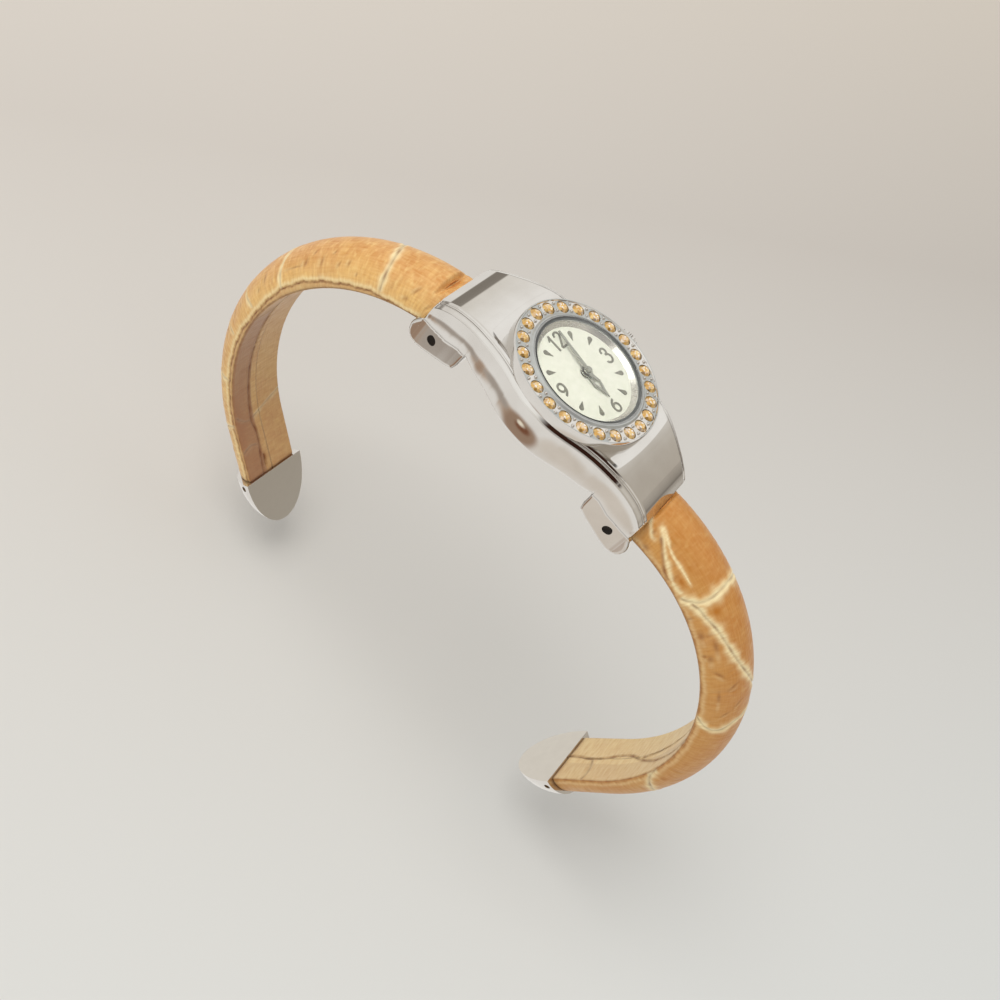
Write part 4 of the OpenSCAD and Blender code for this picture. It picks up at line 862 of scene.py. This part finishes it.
def case_shell():
    half = steps(0, (9.2, 0.09), (11.0, 0.05), (15.6, 0.12), (CASE_HALF, 0.05))
    half = np.concatenate([half, steps(CASE_HALF + 0.006, (16.9, 0.08), (EAR_TIP, 0.03))])
    y = np.concatenate([-half[:0:-1], half])
    k = np.abs(y) / CASE_HALF
    beyond = k > 1
    side = CASE_SIDE * through(PLAN, np.minimum(k, 1))
    rim = -RIM_DROP - LUG_DROP * through(TOP, np.minimum(k, 1))
    rim = np.where(beyond, ear_height(EAR_TOP, k), rim)
    foot = ear_height(FOOT, k)
    line = straight(EAR_LINE, np.abs(y))
    ear = np.where(beyond, foot, np.maximum(line, foot))
    # wall, from the foot up
    low_wall, wall, top_wall = np.linspace(0, 0.12, 9), np.linspace(0.12, 0.9, 34), np.linspace(0.9, 1, 6)
    share = np.concatenate([low_wall, wall[1:], top_wall[1:]])
    Z = foot[:, None] + (rim - 0.05 - foot)[:, None] * share
    Y = np.repeat(np.abs(y)[:, None], len(share), 1)
    around = np.linspace(0, FOOT[-1][0], 400)
    back = np.linspace(FOOT[-1][0], EAR_ROUND_FROM, 20)[1:]
    edge = [(CASE_HALF * q, ear_height(FOOT, q)) for q in around]
    edge += [(CASE_HALF * q, ear_height(EAR_TOP, q)) for q in back]
    far = np.minimum.reduce([segment_distance(Y, Z, p, q) for p, q in zip(edge, edge[1:])])

    def rounding(d, r):
        d = np.minimum(d, r)
        return r - np.sqrt(np.maximum(r * r - (r - d) ** 2, 0))

    middle, reach = (rim + ear)[:, None] / 2, (rim - ear)[:, None] / 2
    bow = WALL_BOW * np.where(beyond[:, None], 1, np.clip((Z - middle) / reach, -1, 1) ** 2)
    below = np.clip((line[:, None] - Z) / 0.22, 0, 1)
    bow += EAR_STEP * below * below * (3 - 2 * below)
    inset = bow + rounding(far, FOOT_ROUND)
    inset += rounding(CASE_HALF - Y, END_ROUND) * np.clip((Z - EAR_LINE[-1][1]) / 0.3, 0, 1)
    X = side[:, None] - inset
    # lip and bead
    lip = np.array(LIP, float)
    runs = np.arange(0, len(LIP) - 0.9, 0.25)
    index = np.arange(len(LIP)) / (len(LIP) - 1)
    lip = np.stack([through(list(zip(index, lip[:, q])), runs / (len(LIP) - 1)) for q in (0, 1)], -1)
    LX = X[:, -1:] - lip[:, 0]
    raised = np.where(beyond, 0, 1)[:, None]
    LZ = rim[:, None] + lip[:, 1] * raised
    # top, to the middle
    top_x = LX[:, -1:] * np.linspace(1, 0, 46)[1:]
    crease = DISH_AT - DISH_BEND * top_x**2
    inside = np.maximum(crease - np.abs(y)[:, None], 0)
    edge_fade = np.clip((LX[:, -1:] - top_x) / 0.8, 0, 1)
    dish = DISH_DEPTH * (1 - np.exp(-inside / DISH_REACH)) * edge_fade
    top_z = rim[:, None] + BEAD_RISE * raised - dish * raised
    base_x = X[:, :1] * np.linspace(0, 1, 5)[:-1]
    base_z = np.repeat(foot[:, None], 4, 1)
    hx = np.concatenate([base_x, X, LX, top_x], 1)
    hz = np.concatenate([base_z, Z, LZ, top_z], 1)
    # painted shade along the foot's edge and the ear line, for their darker reflections
    painted_edge_shade = np.maximum(bump(far, 0.16), 0.7 * bump(line[:, None] - Z, 0.12))
    painted_edge_darkness = np.zeros_like(hx)
    painted_edge_darkness[:, 4:4 + painted_edge_shade.shape[1]] = painted_edge_shade * EDGE_SHADE_STRENGTH
    painted_edge_darkness = np.concatenate([painted_edge_darkness, painted_edge_darkness[:, -2:0:-1]], 1)
    loop_x = np.concatenate([hx, -hx[:, -2:0:-1]], 1)
    loop_z = np.concatenate([hz, hz[:, -2:0:-1]], 1) + STONE_PLANE
    n, m = loop_x.shape
    co = np.stack([loop_x, np.repeat(y[:, None], m, 1), loop_z], -1) * MM
    index = np.arange(n * m).reshape(n, m)
    turned = np.roll(index, -1, 1)
    quads = np.stack([index[:-1], index[1:], turned[1:], turned[:-1]], -1).reshape(-1, 4).tolist()
    faces = quads + [index[0].tolist(), index[-1].tolist()[::-1]]
    o = mesh_object("case_shell", co.reshape(-1, 3).tolist(), faces, chrome)
    point_numbers(o.data, "painted_edge_shade", painted_edge_darkness)
    return o


def cylinder(name, radius, low_z, high_z, at=(0, 0), along="z", sides=192):
    """A closed cylinder in mm; along x its place is (y, z)."""
    a = np.linspace(0, 2 * math.pi, sides, endpoint=False)
    c, s = radius * np.cos(a), radius * np.sin(a)
    if along == "z":
        rings = [np.stack([at[0] + c, at[1] + s, np.full(sides, h)], -1) for h in (low_z, high_z)]
    else:
        rings = [np.stack([np.full(sides, h), at[0] + c, at[1] + s], -1) for h in (low_z, high_z)]
    co = (np.concatenate(rings) * MM).tolist()
    faces = [(i, (i + 1) % sides, sides + (i + 1) % sides, sides + i) for i in range(sides)]
    faces += [tuple(range(sides))[::-1], tuple(range(sides, 2 * sides))]
    return mesh_object(name, co, faces, None)


def block(name, low, high):
    c = [(x, y, z) for z in (low[2], high[2]) for y in (low[1], high[1]) for x in (low[0], high[0])]
    co = [tuple(v * MM for v in p) for p in c]
    faces = [(0, 2, 3, 1), (4, 5, 7, 6), (0, 1, 5, 4), (2, 6, 7, 3), (0, 4, 6, 2), (1, 3, 7, 5)]
    return mesh_object(name, co, faces, None)


# The case's bores and channels, cut from the shell: radii, and depths below the stones' plane
SEAT_R, SEAT_DEPTH, COLLAR_R = 9.28, 1.5, 7.29
BORE_R, BORE_TOP, BACK_R, BACK_TOP = 7.68, 2.0, 8.5, 4.65
ABOVE_CASE, BELOW_CASE, BESIDE_CASE = 3, 9, 14
CHANNEL_R, CHANNEL_HALF, OPENING_REACH, PIN_R = 4.12, 4.85, 8, 0.6
TUBE_R, TUBE_REACH, STEM_Z, CROWN_R, CROWN_SUNK = 0.697, 12, STONE_PLANE - 2.9, 1.91, 0.13
# The opening stands a little inside the channel, so that their faces don't coincide
INSIDE, INSIDE_SHARE = 0.001, 0.999
hinge_z = STONE_PLANE - PIN_DROP
case_bottom = STONE_PLANE - BELOW_CASE
cutters = [
    cylinder("cut_seat", SEAT_R, STONE_PLANE - SEAT_DEPTH, STONE_PLANE + ABOVE_CASE),
    cylinder("cut_collar", COLLAR_R, case_bottom, STONE_PLANE),
    cylinder("cut_bore", BORE_R, case_bottom, STONE_PLANE - BORE_TOP),
    cylinder("cut_back", BACK_R, case_bottom, STONE_PLANE - BACK_TOP),
    cylinder("cut_tube", TUBE_R, 0, TUBE_REACH, (0, STEM_Z), "x", 64),
    cylinder("cut_crown", CROWN_R, CASE_SIDE - CROWN_SUNK, BESIDE_CASE, (0, STEM_Z), "x", 96),
]
for s in (1, -1):
    y = s * PIN_Y
    cutters.append(cylinder("cut_channel", CHANNEL_R, -CHANNEL_HALF, CHANNEL_HALF, (y, hinge_z), "x", 160))
    ends = sorted((y - s * CHANNEL_R * INSIDE_SHARE, y + s * OPENING_REACH))
    cutters.append(block("cut_opening", (-CHANNEL_HALF + INSIDE, ends[0], hinge_z - BELOW_CASE),
                         (CHANNEL_HALF - INSIDE, ends[1], hinge_z)))
    cutters.append(cylinder("cut_pin", PIN_R, -BESIDE_CASE, BESIDE_CASE, (y, hinge_z), "x", 48))
shell = case_shell()
for c in cutters:
    m = shell.modifiers.new(c.name, "BOOLEAN")
    m.operation = "DIFFERENCE"
    m.solver = "EXACT"
    m.object = c
bpy.context.view_layer.update()
baked = bpy.data.meshes.new_from_object(shell.evaluated_get(bpy.context.evaluated_depsgraph_get()))
shell.modifiers.clear()
shell.data = baked
for c in cutters:
    bpy.data.objects.remove(c)
baked.materials.clear()
baked.materials.append(chrome)
bm = bmesh.new()
bm.from_mesh(baked)
bmesh.ops.remove_doubles(bm, verts=bm.verts, dist=WELD)
smooth_faces(bm, SHELL_CORNER)
bm.to_mesh(baked)
bm.free()
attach(shell, "case")
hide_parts("case_body")

# Floor under the cuff; polished metal mirrors softly darker patches of a room below in its place
floor_z = cad_low[2] - FLOOR_BELOW
bpy.ops.mesh.primitive_plane_add(size=FLOOR_SIZE, location=(0, 0, floor_z))
floor = bpy.context.object
floor.name = "floor"
floor_paint = principled("floor", srgb(222, 218, 210), 0.0, 0.9, Specular_IOR_Level=0.1)
floor.data.materials.append(floor_paint)
t = floor_paint.node_tree
paint = t.nodes["Principled BSDF"]
place = t.nodes.new("ShaderNodeNewGeometry").outputs["Position"]
fade = ranged(t, vector_value(t, "DOT_PRODUCT", place, FADE_ALONG), FADE_FROM, FADE_TO)
t.links.new(color_ramp(t, fade, FLOOR_COLORS), paint.inputs["Base Color"])
mirrored = FLOOR_MIRRORED
for (x, y), inner, outer, color in FLOOR_PATCHES:
    far = vector_value(t, "DISTANCE", place, (x * MM, y * MM, floor_z))
    mirrored = over(t, mirrored, ranged(t, far, outer * MM, inner * MM, smooth=True), color)
glow = t.nodes.new("ShaderNodeEmission")
t.links.new(mirrored, glow.inputs["Color"])
glossy = t.nodes.new("ShaderNodeLightPath").outputs["Is Glossy Ray"]
t.links.new(mix_shaders(t, glossy, paint, glow), t.nodes["Material Output"].inputs["Surface"])

# Room: plain white for diffuse light, a soft grey room with windows for what metal mirrors
world = bpy.data.worlds.new("studio")
bpy.context.scene.world = world
world.use_nodes = True
t = world.node_tree
plain = t.nodes["Background"]
plain.inputs["Color"].default_value = (1, 1, 1, 1)
plain.inputs["Strength"].default_value = WORLD_LEVEL
room = t.nodes.new("ShaderNodeBackground")
room.inputs["Strength"].default_value = 1.0
direction = t.nodes.new("ShaderNodeTexCoord").outputs["Generated"]


def toward(azimuth, elevation, inner, outer):
    """1 within inner degrees of a direction, 0 beyond outer degrees."""
    a, e = math.radians(azimuth), math.radians(elevation)
    aim = (math.cos(e) * math.cos(a), math.cos(e) * math.sin(a), math.sin(e))
    cosine = vector_value(t, "DOT_PRODUCT", direction, aim)
    return ranged(t, cosine, math.cos(math.radians(outer)), math.cos(math.radians(inner)), smooth=True)


def level(elevation, inner, outer):
    """1 within inner degrees of a height all round, 0 beyond outer degrees."""
    split = t.nodes.new("ShaderNodeSeparateXYZ")
    t.links.new(direction, split.inputs[0])
    off = maths(t, "SUBTRACT", split.outputs["Z"], math.sin(math.radians(elevation)))
    off = maths(t, "ABSOLUTE", off)
    return ranged(t, off, math.sin(math.radians(outer)), math.sin(math.radians(inner)), smooth=True)


seen = ROOM_WALLS
for azimuth, elevation, inner, outer, color in ROOM:
    seen = over(t, seen, toward(azimuth, elevation, inner, outer), color)
seen = over(t, seen, level(*HORIZON), HORIZON_COLOR)
rays = t.nodes.new("ShaderNodeLightPath").outputs
t.links.new(over(t, seen, rays["Is Camera Ray"], BACKDROP), room.inputs["Color"])
sees = maths(t, "MAXIMUM", rays["Is Camera Ray"], rays["Is Glossy Ray"])
sees = maths(t, "MAXIMUM", sees, rays["Is Transmission Ray"])
t.links.new(mix_shaders(t, sees, plain, room), t.nodes["World Output"].inputs["Surface"])


def area_light(name, at, to, size, watts):
    data = bpy.data.lights.new(name, "AREA")
    data.energy = watts
    data.size = size
    o = bpy.data.objects.new(name, data)
    o.location = at
    o.rotation_euler = (Vector(to) - Vector(at)).to_track_quat("-Z", "Y").to_euler()
    # metal mirrors the soft room, not the hard edge of the lamp
    o.visible_glossy = False
    bpy.context.scene.collection.objects.link(o)


area_light("key", KEY_AT, KEY_TO, KEY_SIZE, KEY_WATTS)

# Camera
data = bpy.data.cameras.new("camera")
data.sensor_width = SENSOR
data.lens = LENS
data.clip_start = CLIP_START
camera = bpy.data.objects.new("camera", data)
bpy.context.scene.collection.objects.link(camera)
axes = Matrix((CAMERA_RIGHT, -CAMERA_DOWN, -CAMERA_AHEAD)).transposed().to_4x4()
camera.matrix_world = Matrix.Translation(CAMERA_AT) @ axes
bpy.context.scene.camera = camera
bpy.context.scene.view_settings.view_transform = "Standard"
